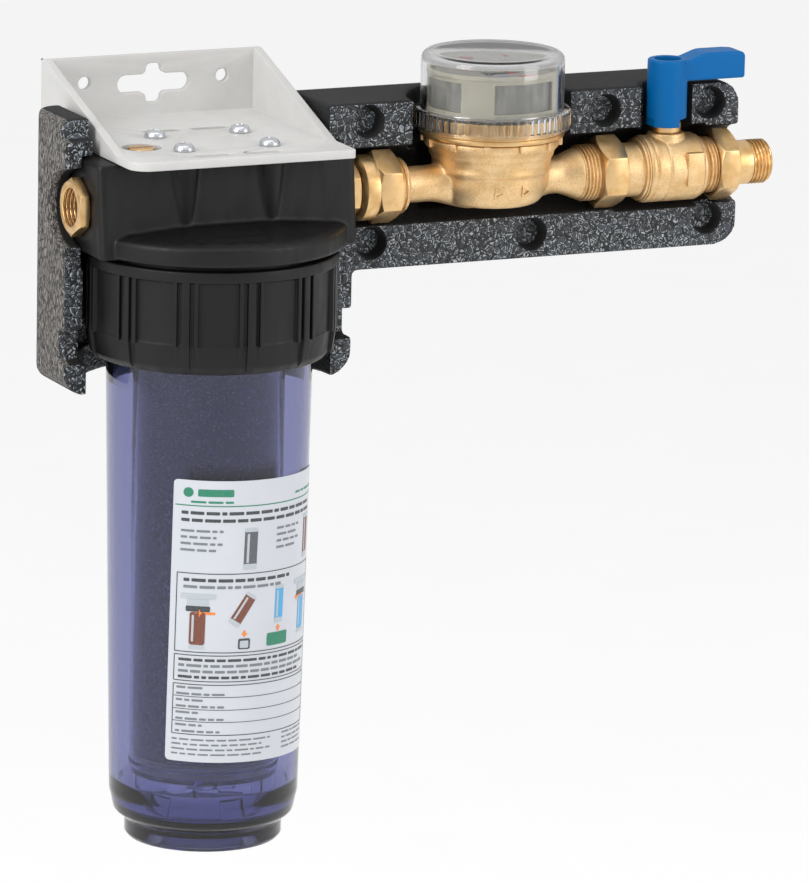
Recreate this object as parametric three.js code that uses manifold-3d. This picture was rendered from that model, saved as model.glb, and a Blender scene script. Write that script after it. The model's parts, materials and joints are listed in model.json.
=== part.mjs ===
// Wall-mounted demineralisation cartridge filter for filling a heating system, with a water meter
// and a ball valve on its outlet, and the rear half of its foam insulation shell.
//
// Millimetres. The pieces are laid out from the point where the filter's vertical axis crosses the
// pipe axis: X runs along the pipe with the flow, Y towards the wall, Z up. The whole group is then
// shifted so that its origin lies on the wall face of the bracket.

import * as THREE from "three";
import { mergeVertices } from "three/addons/utils/BufferGeometryUtils.js";
import Module from "manifold-3d";

const wasm = await Module();
wasm.setup();

// ---------------------------------------------------------------- driving dimensions

const GAP = 0.3; // between pieces that touch
const ROUND = 24; // facets round a large turned piece
const FINE = 14; // facets round a small turned piece

const ORIGIN = { y: 73.6, z: 27 }; // wall face of the bracket, below its keyhole slot

// pipe threads and union nuts, G 3/4 and G 1/2
const THREAD_LARGE = 26.44 / 2;
const THREAD_SMALL = 20.96 / 2;
const THREAD_PITCH = 1.814;
const THREAD_CLEARANCE = 0.5;
const THREAD_ROOT = THREAD_LARGE - THREAD_PITCH * 0.55;
const NUT_FLATS = 30;

const BRACKET = { halfWidth: 54.3, thickness: 4, top: 54.5, shelfTop: 26.2, front: -40, gussetFoot: -17 };
const SHELF_BOTTOM = BRACKET.shelfTop - BRACKET.thickness;
const SLOT_CENTRE_Z = 41;
const SCREW_X = 21;
const SCREW_Y = 17;
const VENT = { x: -36, y: -3 };

const HEAD = { halfWidth: 63.2, halfDepth: 22.3, top: SHELF_BOTTOM - GAP, bottom: -21, port: 16.8, portEnd: 63.9 };
const HEAD_DISC = { radius: 61.3, bottom: -20.3, rim: -12, crown: -7.5 };
const HEAD_CEILING = -16.3; // of the round pocket that the rim, the skirt and the spigot are set in
const HEAD_SEAT = HEAD_CEILING - 0.02;
const SKIRT = { outer: 53, inner: 48.6, bottom: -44 };
const SPIGOT = { outer: 13, inner: 9, bottom: -54 };

const RING_NUT = { top: -22.8, lipBottom: -27.8, panelBottom: -57.4, bottom: -71.2, lip: 58.6, panel: 57 };
const RIB_COUNT = 12;
const RIB_PHASE = -94; // degrees, seen from above

const BOWL = { flange: 53, flangeTop: -45.3, neckTop: -28, wall: 3.7, top: -50, shoulder: -276, bottom: -299 };
const BOWL_FOOT = 36.4;
const bowlRadius = (z) => 46.96 + (z + 94) * 0.0182;

const LABEL = { width: 85, height: 132.5, z: -188.2, turn: 9.5, tilt: -1.6, thickness: 0.25 };

const CARTRIDGE = { radius: 34.5, wall: 1.8, top: -56, tubeTop: -62, tubeBottom: -262, bottom: -283.4 };

const METER_X = 140;
const METER = { inlet: 77.5, outlet: 198.4, pipe: 8.3, bore: 6.5, body: 31.5, seat: 16.5, lip: 20.9 };
const CUP = { outer: 33.6, neck: 30.1, bottom: 21.2, top: 31.3 };
const HOOD = { radius: 33.2, bottom: 31.6, top: 60, wall: 2, edge: 3.5 };
const CLAMP = { outer: 36.4, inner: 34.2, bottom: 25, top: 34.6 };
const REGISTER = { outer: 30.6, inner: 28.8, bottom: 31.8, top: 53, windowBottom: 35.6, windowTop: 49.2 };

const INLET_NUT = { start: 70, hexStart: 78, end: 90 };
const MID_NUT = { start: 191.8, end: 204.6 };
const OUTLET_NUT = { start: 252.1, end: 262.6 };
const TAIL_THREAD = 272;
const TAIL_END = 281.5;
const TAIL_BORE = 7.8;

const VALVE_X = 229.8;
const VALVE = { body: 15.8, neckStart: 204.9, start: 216, end: 247.6, threadEnd: 256.2, ball: 11.4, bore: 8 };
const HANDLE = { hub: 9.4, bottom: 23.6, tab: 20, hubTop: 51.6, end: 267, leverTop: 54.3, leverBottom: 41.4 };

const FOAM = { left: -72.4, right: 268.2, blockRight: 71.4, top: 39.3, bottom: -87.9, depth: 42, corner: 13 };
const FOAM_BACK = 68.8; // radius of the bulge behind the ring nut
const FOAM_ARM = { bottom: -38.75, channel: 17.9 };

// ---------------------------------------------------------------- solids from three.js geometry

// A closed three.js geometry as a solid, with its faces turned outwards.
function toSolid(geometry) {
  const bare = geometry.clone();
  bare.deleteAttribute("normal");
  bare.deleteAttribute("uv");
  const merged = mergeVertices(bare, 1e-4);
  const points = merged.attributes.position.array;
  const index = merged.index.array;
  const corner = (i) => new THREE.Vector3().fromArray(points, index[i] * 3);
  const triangles = [];
  let volume = 0;
  for (let i = 0; i < index.length; i += 3) {
    const [a, b, c] = [index[i], index[i + 1], index[i + 2]];
    if (a === b || b === c || c === a) continue;
    volume += corner(i).dot(corner(i + 1).cross(corner(i + 2)));
    triangles.push(a, b, c);
  }
  if (volume < 0) triangles.reverse();
  const vertProperties = new Float32Array(points);
  return new wasm.Manifold(new wasm.Mesh({ numProp: 3, vertProperties, triVerts: new Uint32Array(triangles) }));
}

function fromSolid(solid) {
  const mesh = solid.getMesh();
  const geometry = new THREE.BufferGeometry();
  geometry.setAttribute("position", new THREE.BufferAttribute(mesh.vertProperties, 3));
  geometry.setIndex(new THREE.BufferAttribute(mesh.triVerts, 1));
  const faceted = geometry.toNonIndexed();
  faceted.computeVertexNormals();
  return faceted;
}

const join = (...parts) => fromSolid(parts.map(toSolid).reduce((whole, next) => whole.add(next)));

const cut = (base, ...tools) =>
  fromSolid(tools.map(toSolid).reduce((rest, tool) => rest.subtract(tool), toSolid(base)));

const common = (one, other) => fromSolid(toSolid(one).intersect(toSolid(other)));

// ---------------------------------------------------------------- basic shapes

// Profile of [radius, height] corners turned about Z. A profile off the axis is closed on itself.
function turned(profile, facets = ROUND) {
  const closed = profile[0][0] === 0 ? profile : [...profile, profile[0]];
  const points = closed.map(([radius, height]) => new THREE.Vector2(radius, height));
  return new THREE.LatheGeometry(points, facets).rotateX(Math.PI / 2);
}

// The same profile turned about the pipe axis X, with its heights as X.
const turnedX = (profile, facets = FINE) => turned(profile, facets).rotateY(Math.PI / 2);

const tubeX = (outer, inner, x0, x1, facets = FINE) =>
  turnedX([[inner, x0], [outer, x0], [outer, x1], [inner, x1]], facets);

const ring = (outer, inner, z0, z1, facets = ROUND) =>
  turned([[inner, z0], [outer, z0], [outer, z1], [inner, z1]], facets);

const box = (x0, x1, y0, y1, z0, z1) =>
  new THREE.BoxGeometry(x1 - x0, y1 - y0, z1 - z0).translate((x0 + x1) / 2, (y0 + y1) / 2, (z0 + z1) / 2);

const rod = (radius, z0, z1, x = 0, y = 0, facets = FINE, topRadius = radius) =>
  new THREE.CylinderGeometry(topRadius, radius, z1 - z0, facets).rotateX(Math.PI / 2).translate(x, y, (z0 + z1) / 2);

const rodX = (radius, x0, x1, y = 0, z = 0, facets = FINE) =>
  new THREE.CylinderGeometry(radius, radius, x1 - x0, facets).rotateZ(Math.PI / 2).translate((x0 + x1) / 2, y, z);

const rodY = (radius, y0, y1, x, z, facets = FINE) =>
  new THREE.CylinderGeometry(radius, radius, y1 - y0, facets).translate(x, (y0 + y1) / 2, z);

function extruded(shape, depth, curveSegments = 8) {
  return new THREE.ExtrudeGeometry(shape, { depth, bevelEnabled: false, curveSegments });
}

// An outline in X and Y, from z0 up to z1.
const slabZ = (shape, z0, z1, curveSegments) => extruded(shape, z1 - z0, curveSegments).translate(0, 0, z0);

// An outline in X and Z, from y0 back to y1.
const slabY = (shape, y0, y1, curveSegments) =>
  extruded(shape, y1 - y0, curveSegments).rotateX(Math.PI / 2).translate(0, y1, 0);

// An outline in Y and Z, from x0 along to x1.
const slabX = (shape, x0, x1) =>
  extruded(shape, x1 - x0).rotateX(Math.PI / 2).rotateZ(Math.PI / 2).translate(x0, 0, 0);

// A rectangle whose corners, from the low left one round anticlockwise, each have their own radius.
function rounded(x0, x1, y0, y1, radius) {
  const [a, b, c, d] = Array.isArray(radius) ? radius : [radius, radius, radius, radius];
  const shape = new THREE.Shape();
  shape.moveTo(x0 + a, y0);
  shape.lineTo(x1 - b, y0);
  if (b > 0) shape.absarc(x1 - b, y0 + b, b, -Math.PI / 2, 0);
  shape.lineTo(x1, y1 - c);
  if (c > 0) shape.absarc(x1 - c, y1 - c, c, 0, Math.PI / 2);
  shape.lineTo(x0 + d, y1);
  if (d > 0) shape.absarc(x0 + d, y1 - d, d, Math.PI / 2, Math.PI);
  shape.lineTo(x0, y0 + a);
  if (a > 0) shape.absarc(x0 + a, y0 + a, a, Math.PI, Math.PI * 1.5);
  return shape;
}

function polygon(corners) {
  return new THREE.Shape(corners.map(([x, y]) => new THREE.Vector2(x, y)));
}

// A hexagon along X with corners at top and bottom and turned chamfers on both ends.
function hexagon(flats, x0, x1, chamfer = 1.5) {
  const corner = flats / Math.sqrt(3);
  const face = (flats / 2) * 0.97;
  const bar = rodX(corner, x0, x1, 0, 0, 6);
  const ends = turnedX([[0, x0], [face, x0], [corner + 0.1, x0 + chamfer],
    [corner + 0.1, x1 - chamfer], [face, x1], [0, x1]]);
  return common(bar, ends);
}

// A male thread along X as a row of crests at the thread's pitch, turned solid to the axis.
function threaded(radius, x0, x1) {
  const depth = THREAD_PITCH * 0.55;
  const turns = Math.floor((x1 - x0) / THREAD_PITCH);
  const profile = [[0, x0], [radius - depth, x0]];
  for (let turn = 0; turn < turns; turn++) {
    const start = x0 + turn * THREAD_PITCH;
    profile.push([radius, start + THREAD_PITCH * 0.45]);
    profile.push([radius - depth, start + THREAD_PITCH]);
  }
  profile.push([radius - depth, x1], [0, x1]);
  return turnedX(profile);
}

// ---------------------------------------------------------------- the assembly

const assembly = new THREE.Group();
assembly.position.set(0, -ORIGIN.y, -ORIGIN.z);

function add(name, geometry, finish) {
  const [color, roughness, metalness] = finish;
  const mesh = new THREE.Mesh(geometry, new THREE.MeshStandardMaterial({ color, roughness, metalness }));
  mesh.name = name;
  assembly.add(mesh);
  return mesh;
}

const FINISH = {
  foam: [0x2b2d31, 0.9, 0],
  white: [0xe4e2de, 0.5, 0],
  zinc: [0xb9bcc0, 0.3, 1],
  black: [0x1b1a1a, 0.45, 0],
  brass: [0xc79a55, 0.35, 1],
  castBrass: [0xb98d4f, 0.5, 1],
  rubber: [0x161616, 0.8, 0],
  fibre: [0x7a3f2a, 0.8, 0],
  clearBlue: [0x5a5cae, 0.1, 0],
  clear: [0xd8dadc, 0.1, 0],
  clearPlastic: [0xb9bfdc, 0.15, 0],
  resin: [0x1a1d45, 0.6, 0],
  felt: [0xd9d9d2, 0.95, 0],
  paper: [0xf4f5f2, 0.6, 0],
  cream: [0xd8d5c6, 0.5, 0],
  dial: [0xe9e7dd, 0.5, 0],
  darkPlastic: [0x3b3d40, 0.5, 0],
  red: [0xc3261f, 0.5, 0],
  ptfe: [0xf2f2ee, 0.4, 0],
  chrome: [0xc9ccd0, 0.15, 1],
  blue: [0x0f5fa8, 0.35, 0],
};

// ---------------------------------------------------------------- foam rear shell

function foamShell() {
  const { left, right, blockRight, top, bottom, depth, corner } = FOAM;
  const block = slabY(rounded(left, blockRight, bottom, top, [corner, corner, 0, 5]), 0, depth);
  const arm = slabY(rounded(blockRight - 10, right, FOAM_ARM.bottom, top, [0, 12, 12, 0]), 0, depth);
  const plan = slabZ(rounded(left, right, -10, depth, [0, 0, corner, corner]), bottom - 1, top + 1);
  const nutBack = common(rod(FOAM_BACK, bottom, -0.8, 0, 0, ROUND), box(-70, 70, depth - 8, 70, bottom, 0));
  const blank = join(common(join(block, arm), plan), nutBack);

  const headPocket = box(-63.6, 63.6, -1, 24.5, HEAD.bottom - 8, SHELF_BOTTOM + 0.8);
  const bracketPocket = box(-58, 57.6, -1, depth + 1, 20.6, top + 1);
  const nutWindow = rod(62.6, -73.4, -6.8, 0, 0, ROUND);
  const bowlNotch = rod(RING_NUT.lip + 1.7, bottom - 1, -72, 0, 0, ROUND);
  const inletChannel = rodX(17.8, left - 1, -60, 0, -0.7);
  const pipeChannel = rodX(FOAM_ARM.channel, 60, right + 1, 0, 0, ROUND);
  const channelMouth = box(71, right + 1, -1, 4, -FOAM_ARM.channel, FOAM_ARM.channel);
  const meterPocket = rod(34.6, -14, top + 1, METER_X, 0, ROUND);
  const hoodPocket = rod(39.6, 15, top + 1, METER_X, 0, ROUND);
  const valvePocket = rodX(19.4, 203, 251);
  const stemPocket = rod(13.1, 10, top + 1, VALVE_X, 0);
  const hornStep = box(left - 1, -50, -1, 5.5, 29.9, top + 1);
  const strapLeft = slabX(polygon([[-1, -57], [5, -57], [5, -70.5], [0, -73.4], [-1, -73.4]]), left - 1, -50);
  const strapRight = slabX(polygon([[-1, -56.2], [10, -56.2], [10, -69.4], [-1, -69.4]]), 50, blockRight + 1);
  const dimples = [[78, 30.4], [198.5, 28.7], [252.5, 29.3], [80.1, -26.3], [161.7, -27.4], [252.4, -25.5]]
    .map(([x, z]) => rodY(7.4, -1, 8, x, z, 16));
  return cut(blank, headPocket, bracketPocket, nutWindow, bowlNotch, inletChannel, pipeChannel, channelMouth,
    meterPocket, hoodPocket, valvePocket, stemPocket, hornStep, strapLeft, strapRight, ...dimples);
}
add("epp_rear_shell", foamShell(), FINISH.foam);

// ---------------------------------------------------------------- wall bracket

// Round-ended slot, centred on x and y, length along x.
const slotShape = (x, y, length, width) =>
  rounded(x - length / 2, x + length / 2, y - width / 2, y + width / 2, width / 2 - 0.01);

function bracket() {
  const { halfWidth, thickness, top, shelfTop, front, gussetFoot } = BRACKET;
  const wallFace = ORIGIN.y;
  const plateFront = wallFace - thickness;
  const plate = box(-halfWidth, halfWidth, plateFront, wallFace, SHELF_BOTTOM, top);
  const shelf = slabZ(rounded(-halfWidth, halfWidth, front, wallFace, [9, 2.5, 0, 0]), SHELF_BOTTOM, shelfTop);
  const side = polygon([[wallFace, SHELF_BOTTOM], [wallFace, top], [plateFront, top],
    [gussetFoot, shelfTop], [gussetFoot, SHELF_BOTTOM]]);
  const gussets = [slabX(side, -halfWidth, thickness - halfWidth), slabX(side, halfWidth - thickness, halfWidth)];

  const acrossWall = (shape) => slabY(shape, plateFront - 1, wallFace + 1, 4);
  const throughShelf = (shape) => slabZ(shape, SHELF_BOTTOM - 1, shelfTop + 1, 3);
  const keyhole = [
    acrossWall(slotShape(0, SLOT_CENTRE_Z, 36, 8.4)),
    acrossWall(rounded(-3.9, 3.9, SLOT_CENTRE_Z - 9.2, SLOT_CENTRE_Z + 9.2, 3.8)),
  ];
  const wallHoles = [-1, 1].map((sign) => rodY(3.1, plateFront - 1, wallFace + 1, sign * 34.3, 42.6, 14));
  const screwHoles = [];
  const shelfSlots = [];
  for (const sx of [-1, 1]) {
    for (const sy of [-1, 1]) {
      screwHoles.push(rod(3, SHELF_BOTTOM - 1, shelfTop + 1, sx * SCREW_X, sy * SCREW_Y, 14));
      shelfSlots.push(throughShelf(slotShape(sx * 12, sy * 31, 19, 5.4)));
    }
  }
  const ventHole = rod(9.2, SHELF_BOTTOM - 1, shelfTop + 1, VENT.x, VENT.y, 28);
  return cut(join(plate, shelf, ...gussets), ...keyhole, ...wallHoles, ...screwHoles, ...shelfSlots, ventHole);
}
add("wall_bracket", bracket(), FINISH.white);

function bracketScrew(x, y) {
  const seat = BRACKET.shelfTop + 0.05;
  const head = turned([[0, seat], [4.9, seat], [4.9, seat + 1], [4.2, seat + 2.4], [2.6, seat + 3.3], [0, seat + 3.5]], 16);
  const shank = rod(2.4, HEAD.top - 11, seat + 0.5, 0, 0, 10);
  const cross = [box(-2.6, 2.6, -0.5, 0.5, seat + 1.4, seat + 5), box(-0.5, 0.5, -2.6, 2.6, seat + 1.4, seat + 5)];
  return cut(join(head, shank), ...cross).translate(x, y, 0);
}
let screwNumber = 0;
for (const sx of [-1, 1]) {
  for (const sy of [-1, 1]) {
    screwNumber += 1;
    add(`bracket_screw_${screwNumber}`, bracketScrew(sx * SCREW_X, sy * SCREW_Y), FINISH.zinc);
  }
}

// ---------------------------------------------------------------- filter head

function filterHead() {
  const { halfWidth, halfDepth, top, bottom, port, portEnd } = HEAD;
  const block = slabZ(rounded(-halfWidth, halfWidth, -halfDepth, halfDepth, 3), bottom, top, 4);
  const disc = turned([[0, HEAD_CEILING], [HEAD_DISC.radius, HEAD_CEILING], [HEAD_DISC.radius, HEAD_DISC.rim - 1.5],
    [HEAD_DISC.radius - 1.5, HEAD_DISC.rim], [20, HEAD_DISC.crown], [0, HEAD_DISC.crown]]);
  const ports = [rodX(port, -portEnd, -halfWidth + 6), rodX(port, halfWidth - 6, portEnd)];
  const bosses = [];
  const pilotHoles = [];
  for (const sx of [-1, 1]) {
    for (const sy of [-1, 1]) {
      bosses.push(rod(3.8, -9, top, sx * SCREW_X, sy * SCREW_Y, 16, 6.1));
      pilotHoles.push(rod(2.6, top - 13, top + 1, sx * SCREW_X, sy * SCREW_Y, 12));
    }
  }
  const pocket = rod(HEAD_DISC.radius + 0.02, bottom - 1, HEAD_CEILING, 0, 0, ROUND);
  const inletBore = rodX(11.2, -67, -48);
  const inletPassage = rodX(8, -49, -40);
  const inletDrop = rod(6.5, bottom - 1, 2, -38, 0, 20);
  const outletBore = rodX(11.2, 48, 67);
  const outletPassage = rodX(8, -2, 49);
  const outletRise = rod(8, bottom - 1, 2, 0, 0, 24);
  const ventBore = rod(4.4, 6, top + 1, VENT.x, VENT.y, 20);
  const shell = cut(join(block, disc, ...ports, ...bosses), pocket);
  return cut(shell, inletBore, inletPassage, inletDrop, outletBore, outletPassage, outletRise, ventBore,
    ...pilotHoles);
}
add("filter_head", filterHead(), FINISH.black);
add("head_rim", ring(HEAD_DISC.radius, SKIRT.outer + 0.02, HEAD_DISC.bottom, HEAD_SEAT), FINISH.black);
add("head_skirt", ring(SKIRT.outer, SKIRT.inner, SKIRT.bottom, HEAD_SEAT), FINISH.black);
add("head_spigot", ring(SPIGOT.outer, SPIGOT.inner, SPIGOT.bottom, HEAD_SEAT, FINE), FINISH.black);

add("vent_seal", ring(6.2, 4.5, HEAD.top + 0.05, HEAD.top + 1.1, 24).translate(VENT.x, VENT.y, 0), FINISH.rubber);

function ventScrew() {
  const seat = HEAD.top + 1.15;
  const cap = rod(6.6, seat, seat + 3, 0, 0, 6);
  const shank = rod(4.2, 8, seat + 0.5, 0, 0, 20);
  const slot = box(-8, 8, -0.7, 0.7, seat + 1.8, seat + 4);
  return cut(join(cap, shank), slot);
}
add("vent_screw", ventScrew().translate(VENT.x, VENT.y, 0), FINISH.brass);

function inletInsert() {
  const hex = hexagon(24, -69.5, -HEAD.portEnd - 0.3, 0.8);
  const barrel = rodX(11, -65, -49);
  const bore = rodX(9.3, -70, -53);
  const neck = rodX(7.4, -54, -48);
  return cut(join(hex, barrel), bore, neck);
}
add("inlet_insert", inletInsert(), FINISH.brass);

// ---------------------------------------------------------------- ring nut, bowl and label

function ringNut() {
  const { top, lipBottom, panelBottom, bottom, lip, panel } = RING_NUT;
  const bore = SKIRT.outer + 1.2;
  const throat = 48.7;
  const seat = -50.2;
  const body = turned([[bore, top], [bore, seat], [throat, seat], [throat, bottom], [50.5, bottom],
    [54, bottom + 1.4], [panel - 1.2, bottom + 7], [panel - 1.2, panelBottom], [panel, panelBottom + 0.6],
    [panel, lipBottom - 0.4],
    [lip, lipBottom], [lip, top]], 36);
  const ribs = [];
  for (let n = 0; n < RIB_COUNT; n++) {
    const angle = THREE.MathUtils.degToRad(RIB_PHASE + n * (360 / RIB_COUNT));
    ribs.push(box(bore + 0.6, lip - 0.4, -1.85, 1.85, bottom + 1, lipBottom + 0.4).rotateZ(angle));
  }
  const envelope = turned([[0, bottom], [54, bottom], [56, bottom + 2], [lip - 0.4, bottom + 7],
    [lip - 0.4, lipBottom + 0.6], [0, lipBottom + 0.6]], 36);
  return join(body, common(join(...ribs), envelope));
}
add("ring_nut", ringNut(), FINISH.black);

function bowl() {
  const { flange, flangeTop, neckTop, wall, top, shoulder, bottom } = BOWL;
  const inner = (z) => bowlRadius(z) - wall;
  return turned([
    [0, bottom + 5], [28, bottom + 5], [31, bottom], [34.6, bottom], [BOWL_FOOT, bottom + 2], [BOWL_FOOT, -290],
    [42, -285], [bowlRadius(shoulder), shoulder], [bowlRadius(top), top], [flange, top],
    [flange, flangeTop], [SKIRT.inner - 0.5, flangeTop], [SKIRT.inner - 0.5, neckTop], [inner(top), neckTop],
    [inner(top), top], [inner(-272), -272], [35, -284], [0, -285.5],
  ], 32);
}
add("bowl", bowl(), FINISH.clearBlue);

add("bowl_seal", ring(51.6, 49.2, BOWL.flangeTop + 0.1, SKIRT.bottom - 0.1), FINISH.rubber);

function bowlLabel() {
  const top = LABEL.z + LABEL.height / 2 + 4;
  const bottom = LABEL.z - LABEL.height / 2 - 4;
  const clear = 0.1;
  const skin = turned([[bowlRadius(bottom) + clear, bottom], [bowlRadius(bottom) + clear + LABEL.thickness, bottom],
    [bowlRadius(top) + clear + LABEL.thickness, top], [bowlRadius(top) + clear, top]], 64);
  const radius = bowlRadius(LABEL.z);
  const halfChord = radius * Math.sin(LABEL.width / 2 / radius);
  const sheet = slabY(rounded(-halfChord, halfChord, -LABEL.height / 2, LABEL.height / 2, 2), -60, -radius * 0.5, 4)
    .rotateY(THREE.MathUtils.degToRad(-LABEL.tilt)).translate(0, 0, LABEL.z)
    .rotateZ(THREE.MathUtils.degToRad(LABEL.turn));
  return common(skin, sheet);
}
add("bowl_label", bowlLabel(), FINISH.paper);

// ---------------------------------------------------------------- resin cartridge

const { radius: tubeRadius, wall: tubeWall } = CARTRIDGE;
const tubeInner = tubeRadius - tubeWall;
add("cartridge_tube", ring(tubeRadius, tubeInner, CARTRIDGE.tubeBottom, CARTRIDGE.tubeTop), FINISH.clearPlastic);

function cartridgeTopCap() {
  const { top, tubeTop } = CARTRIDGE;
  const rim = tubeTop + GAP;
  return turned([[SPIGOT.outer + 1.6, rim - 5], [tubeInner - GAP, rim - 5], [tubeInner - GAP, rim],
    [tubeRadius + 0.7, rim], [tubeRadius + 0.7, top - 1], [tubeRadius - 0.3, top], [SPIGOT.outer + 4.6, top],
    [SPIGOT.outer + 4.6, top + 4], [SPIGOT.outer + 1.6, top + 4]]);
}
add("cartridge_top_cap", cartridgeTopCap(), FINISH.clearPlastic);

add("cartridge_gasket", ring(SPIGOT.outer + 1.4, SPIGOT.outer + 0.1, -53.4, -51.6, FINE), FINISH.rubber);

function cartridgeBottomCap() {
  const { tubeBottom, bottom } = CARTRIDGE;
  const rim = tubeBottom - GAP;
  const floor = tubeBottom - 5.6;
  const cup = turned([[0, floor], [tubeRadius - 3, floor], [tubeRadius - 3, bottom], [tubeRadius - 0.6, bottom],
    [tubeRadius - 0.6, rim - 3], [tubeRadius + 0.4, rim - 2], [tubeRadius + 0.4, rim], [tubeInner - GAP, rim],
    [tubeInner - GAP, rim + 1.6], [tubeInner - 2, rim + 1.6], [tubeInner - 2, floor + 2], [0, floor + 2]]);
  const slots = [];
  const slotCount = 6;
  for (let n = 0; n < slotCount; n++) {
    const angle = (n + 0.5) * ((2 * Math.PI) / slotCount);
    slots.push(box(tubeRadius - 6, tubeRadius + 2, -5.5, 5.5, bottom - 1, bottom + 6.5).rotateZ(angle));
  }
  const drains = [];
  for (let n = 0; n < 4; n++) {
    const angle = (n * Math.PI) / 2;
    drains.push(rod(3, floor - 1, floor + 3, 16, 0, 6).rotateZ(angle));
  }
  return cut(cup, ...slots, ...drains);
}
add("cartridge_bottom_cap", cartridgeBottomCap(), FINISH.clearPlastic);

const resinTop = CARTRIDGE.tubeTop - 9;
const resinBottom = CARTRIDGE.tubeBottom + 3.2;
const fillRadius = tubeInner - 0.2;
add("cartridge_resin", rod(fillRadius, resinBottom, resinTop, 0, 0, ROUND), FINISH.resin);
add("cartridge_pad_top", rod(fillRadius, resinTop + 0.1, resinTop + 3, 0, 0, ROUND), FINISH.felt);
add("cartridge_pad_bottom", rod(tubeInner - 2.3, CARTRIDGE.tubeBottom - 3.3, resinBottom - 0.1, 0, 0, ROUND), FINISH.felt);

// ---------------------------------------------------------------- inlet union

function inletTail() {
  const hex = hexagon(24, HEAD.portEnd + 0.3, INLET_NUT.start - 0.3, 1);
  const barrel = rodX(11, 49, 65);
  const flangeStart = INLET_NUT.start + 2.5;
  const tube = rodX(8.6, 69, flangeStart + 1);
  const flange = rodX(12, flangeStart, flangeStart + 2);
  const bore = rodX(6.5, 48, flangeStart + 3);
  return cut(join(hex, barrel, tube, flange), bore);
}
add("inlet_union_tail", inletTail(), FINISH.brass);

function inletNut() {
  const { start, hexStart, end } = INLET_NUT;
  const collar = turnedX([[0, start], [13.6, start], [15.2, start + 1.6], [15.2, hexStart + 1], [0, hexStart + 1]]);
  const hex = hexagon(NUT_FLATS, hexStart, end);
  const hole = rodX(9, start - 1, end);
  const thread = rodX(THREAD_LARGE + THREAD_CLEARANCE, start + 2.2, end + 1);
  return cut(join(collar, hex), hole, thread);
}
add("inlet_union_nut", inletNut(), FINISH.brass);

add("inlet_union_gasket", tubeX(12, 7.2, INLET_NUT.start + 4.6, METER.inlet - 0.1), FINISH.fibre);

// ---------------------------------------------------------------- water meter

function meterBody() {
  const { inlet, outlet, pipe, bore, body, seat, lip } = METER;
  const vessel = turned([[0, -11.6], [12, -11.6], [20, -9.6], [26, -4.8], [29.6, 1], [29.6, 5.5], [body, 8],
    [body, lip], [CUP.neck + 0.3, lip], [CUP.neck + 0.3, seat], [0, seat]]).translate(METER_X, 0, 0);
  const inletPipe = join(rodX(THREAD_ROOT, inlet, 90), threaded(THREAD_LARGE, 89.2, 93.8), rodX(pipe, 93, METER_X));
  const flare = turnedX([[0, METER_X], [pipe, METER_X], [pipe, 176], [THREAD_LARGE - 1.4, 183.4],
    [THREAD_LARGE - 1.4, 185], [0, 185]]);
  const outletPipe = join(flare, threaded(THREAD_LARGE, 184, 193.4), rodX(THREAD_ROOT, 192.4, outlet));
  const lugs = [];
  const lugCount = 12;
  for (let n = 0; n < lugCount; n++) {
    const angle = (n + 0.25) * ((2 * Math.PI) / lugCount);
    lugs.push(box(body - 0.8, body + 1.6, -2, 2, lip - 3.7, lip - 0.1).rotateZ(angle).translate(METER_X, 0, 0));
  }
  const chamber = turned([[0, -8.4], [12, -8.4], [22, -4.4], [26.4, 4], [26.4, 18], [0, 18]]).translate(METER_X, 0, 0);
  const flow = rodX(bore, inlet - 1, outlet + 1);
  return cut(join(vessel, inletPipe, outletPipe, ...lugs), chamber, flow);
}
add("meter_body", meterBody(), FINISH.castBrass);

function strainer() {
  const { inlet, bore } = METER;
  const outer = bore - 0.25;
  const cup = turnedX([[0, inlet + 14.1], [outer - 0.9, inlet + 14.1], [outer - 0.9, inlet + 0.4],
    [outer, inlet + 0.4], [outer, inlet + 15], [0, inlet + 15]], 24);
  const slots = [0, 60, 120].map((degrees) =>
    box(inlet + 3, inlet + 12, -9, 9, -1.1, 1.1).rotateX(THREE.MathUtils.degToRad(degrees)));
  return cut(cup, ...slots);
}
add("meter_strainer", strainer(), FINISH.ptfe);

function impeller() {
  const hub = rod(3.4, -6, 11, 0, 0, 16);
  const blades = [];
  const bladeCount = 7;
  for (let n = 0; n < bladeCount; n++) {
    blades.push(box(2.5, 20.5, -0.7, 0.7, -4, 10).rotateZ((n * 2 * Math.PI) / bladeCount));
  }
  return cut(join(hub, ...blades), rod(1.3, -7.5, 12, 0, 0, 16)).translate(METER_X, 0, 0);
}
add("meter_impeller", impeller(), FINISH.ptfe);

add("impeller_pin", rod(1, -8.2, 16.6, METER_X, 0, 12), FINISH.chrome);

function cupRing() {
  const { outer, neck, bottom, top } = CUP;
  const foot = METER.seat + GAP;
  return turned([[27.4, foot], [neck, foot], [neck, bottom], [outer - 0.8, bottom], [outer, bottom + 1],
    [outer, top], [31.6, top], [31.6, 23.4], [29, 23.4], [29, 19.4], [27.4, 19.4]]).translate(METER_X, 0, 0);
}
add("meter_cup_ring", cupRing(), FINISH.brass);

add("meter_separator", turned([[0, 17.2], [27, 17.2], [27, 19.7], [28.7, 19.7], [28.7, 21.4], [0, 21.4]])
  .translate(METER_X, 0, 0), FINISH.castBrass);

function clampRing() {
  const { outer, inner, bottom, top } = CLAMP;
  return turned([[inner, bottom], [outer, bottom], [outer, top - 0.8], [outer - 0.8, top], [HOOD.radius + 0.4, top],
    [HOOD.radius + 0.4, top - 1], [inner, top - 1]]).translate(METER_X, 0, 0);
}
add("meter_clamp_ring", clampRing(), FINISH.clear);

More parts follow.
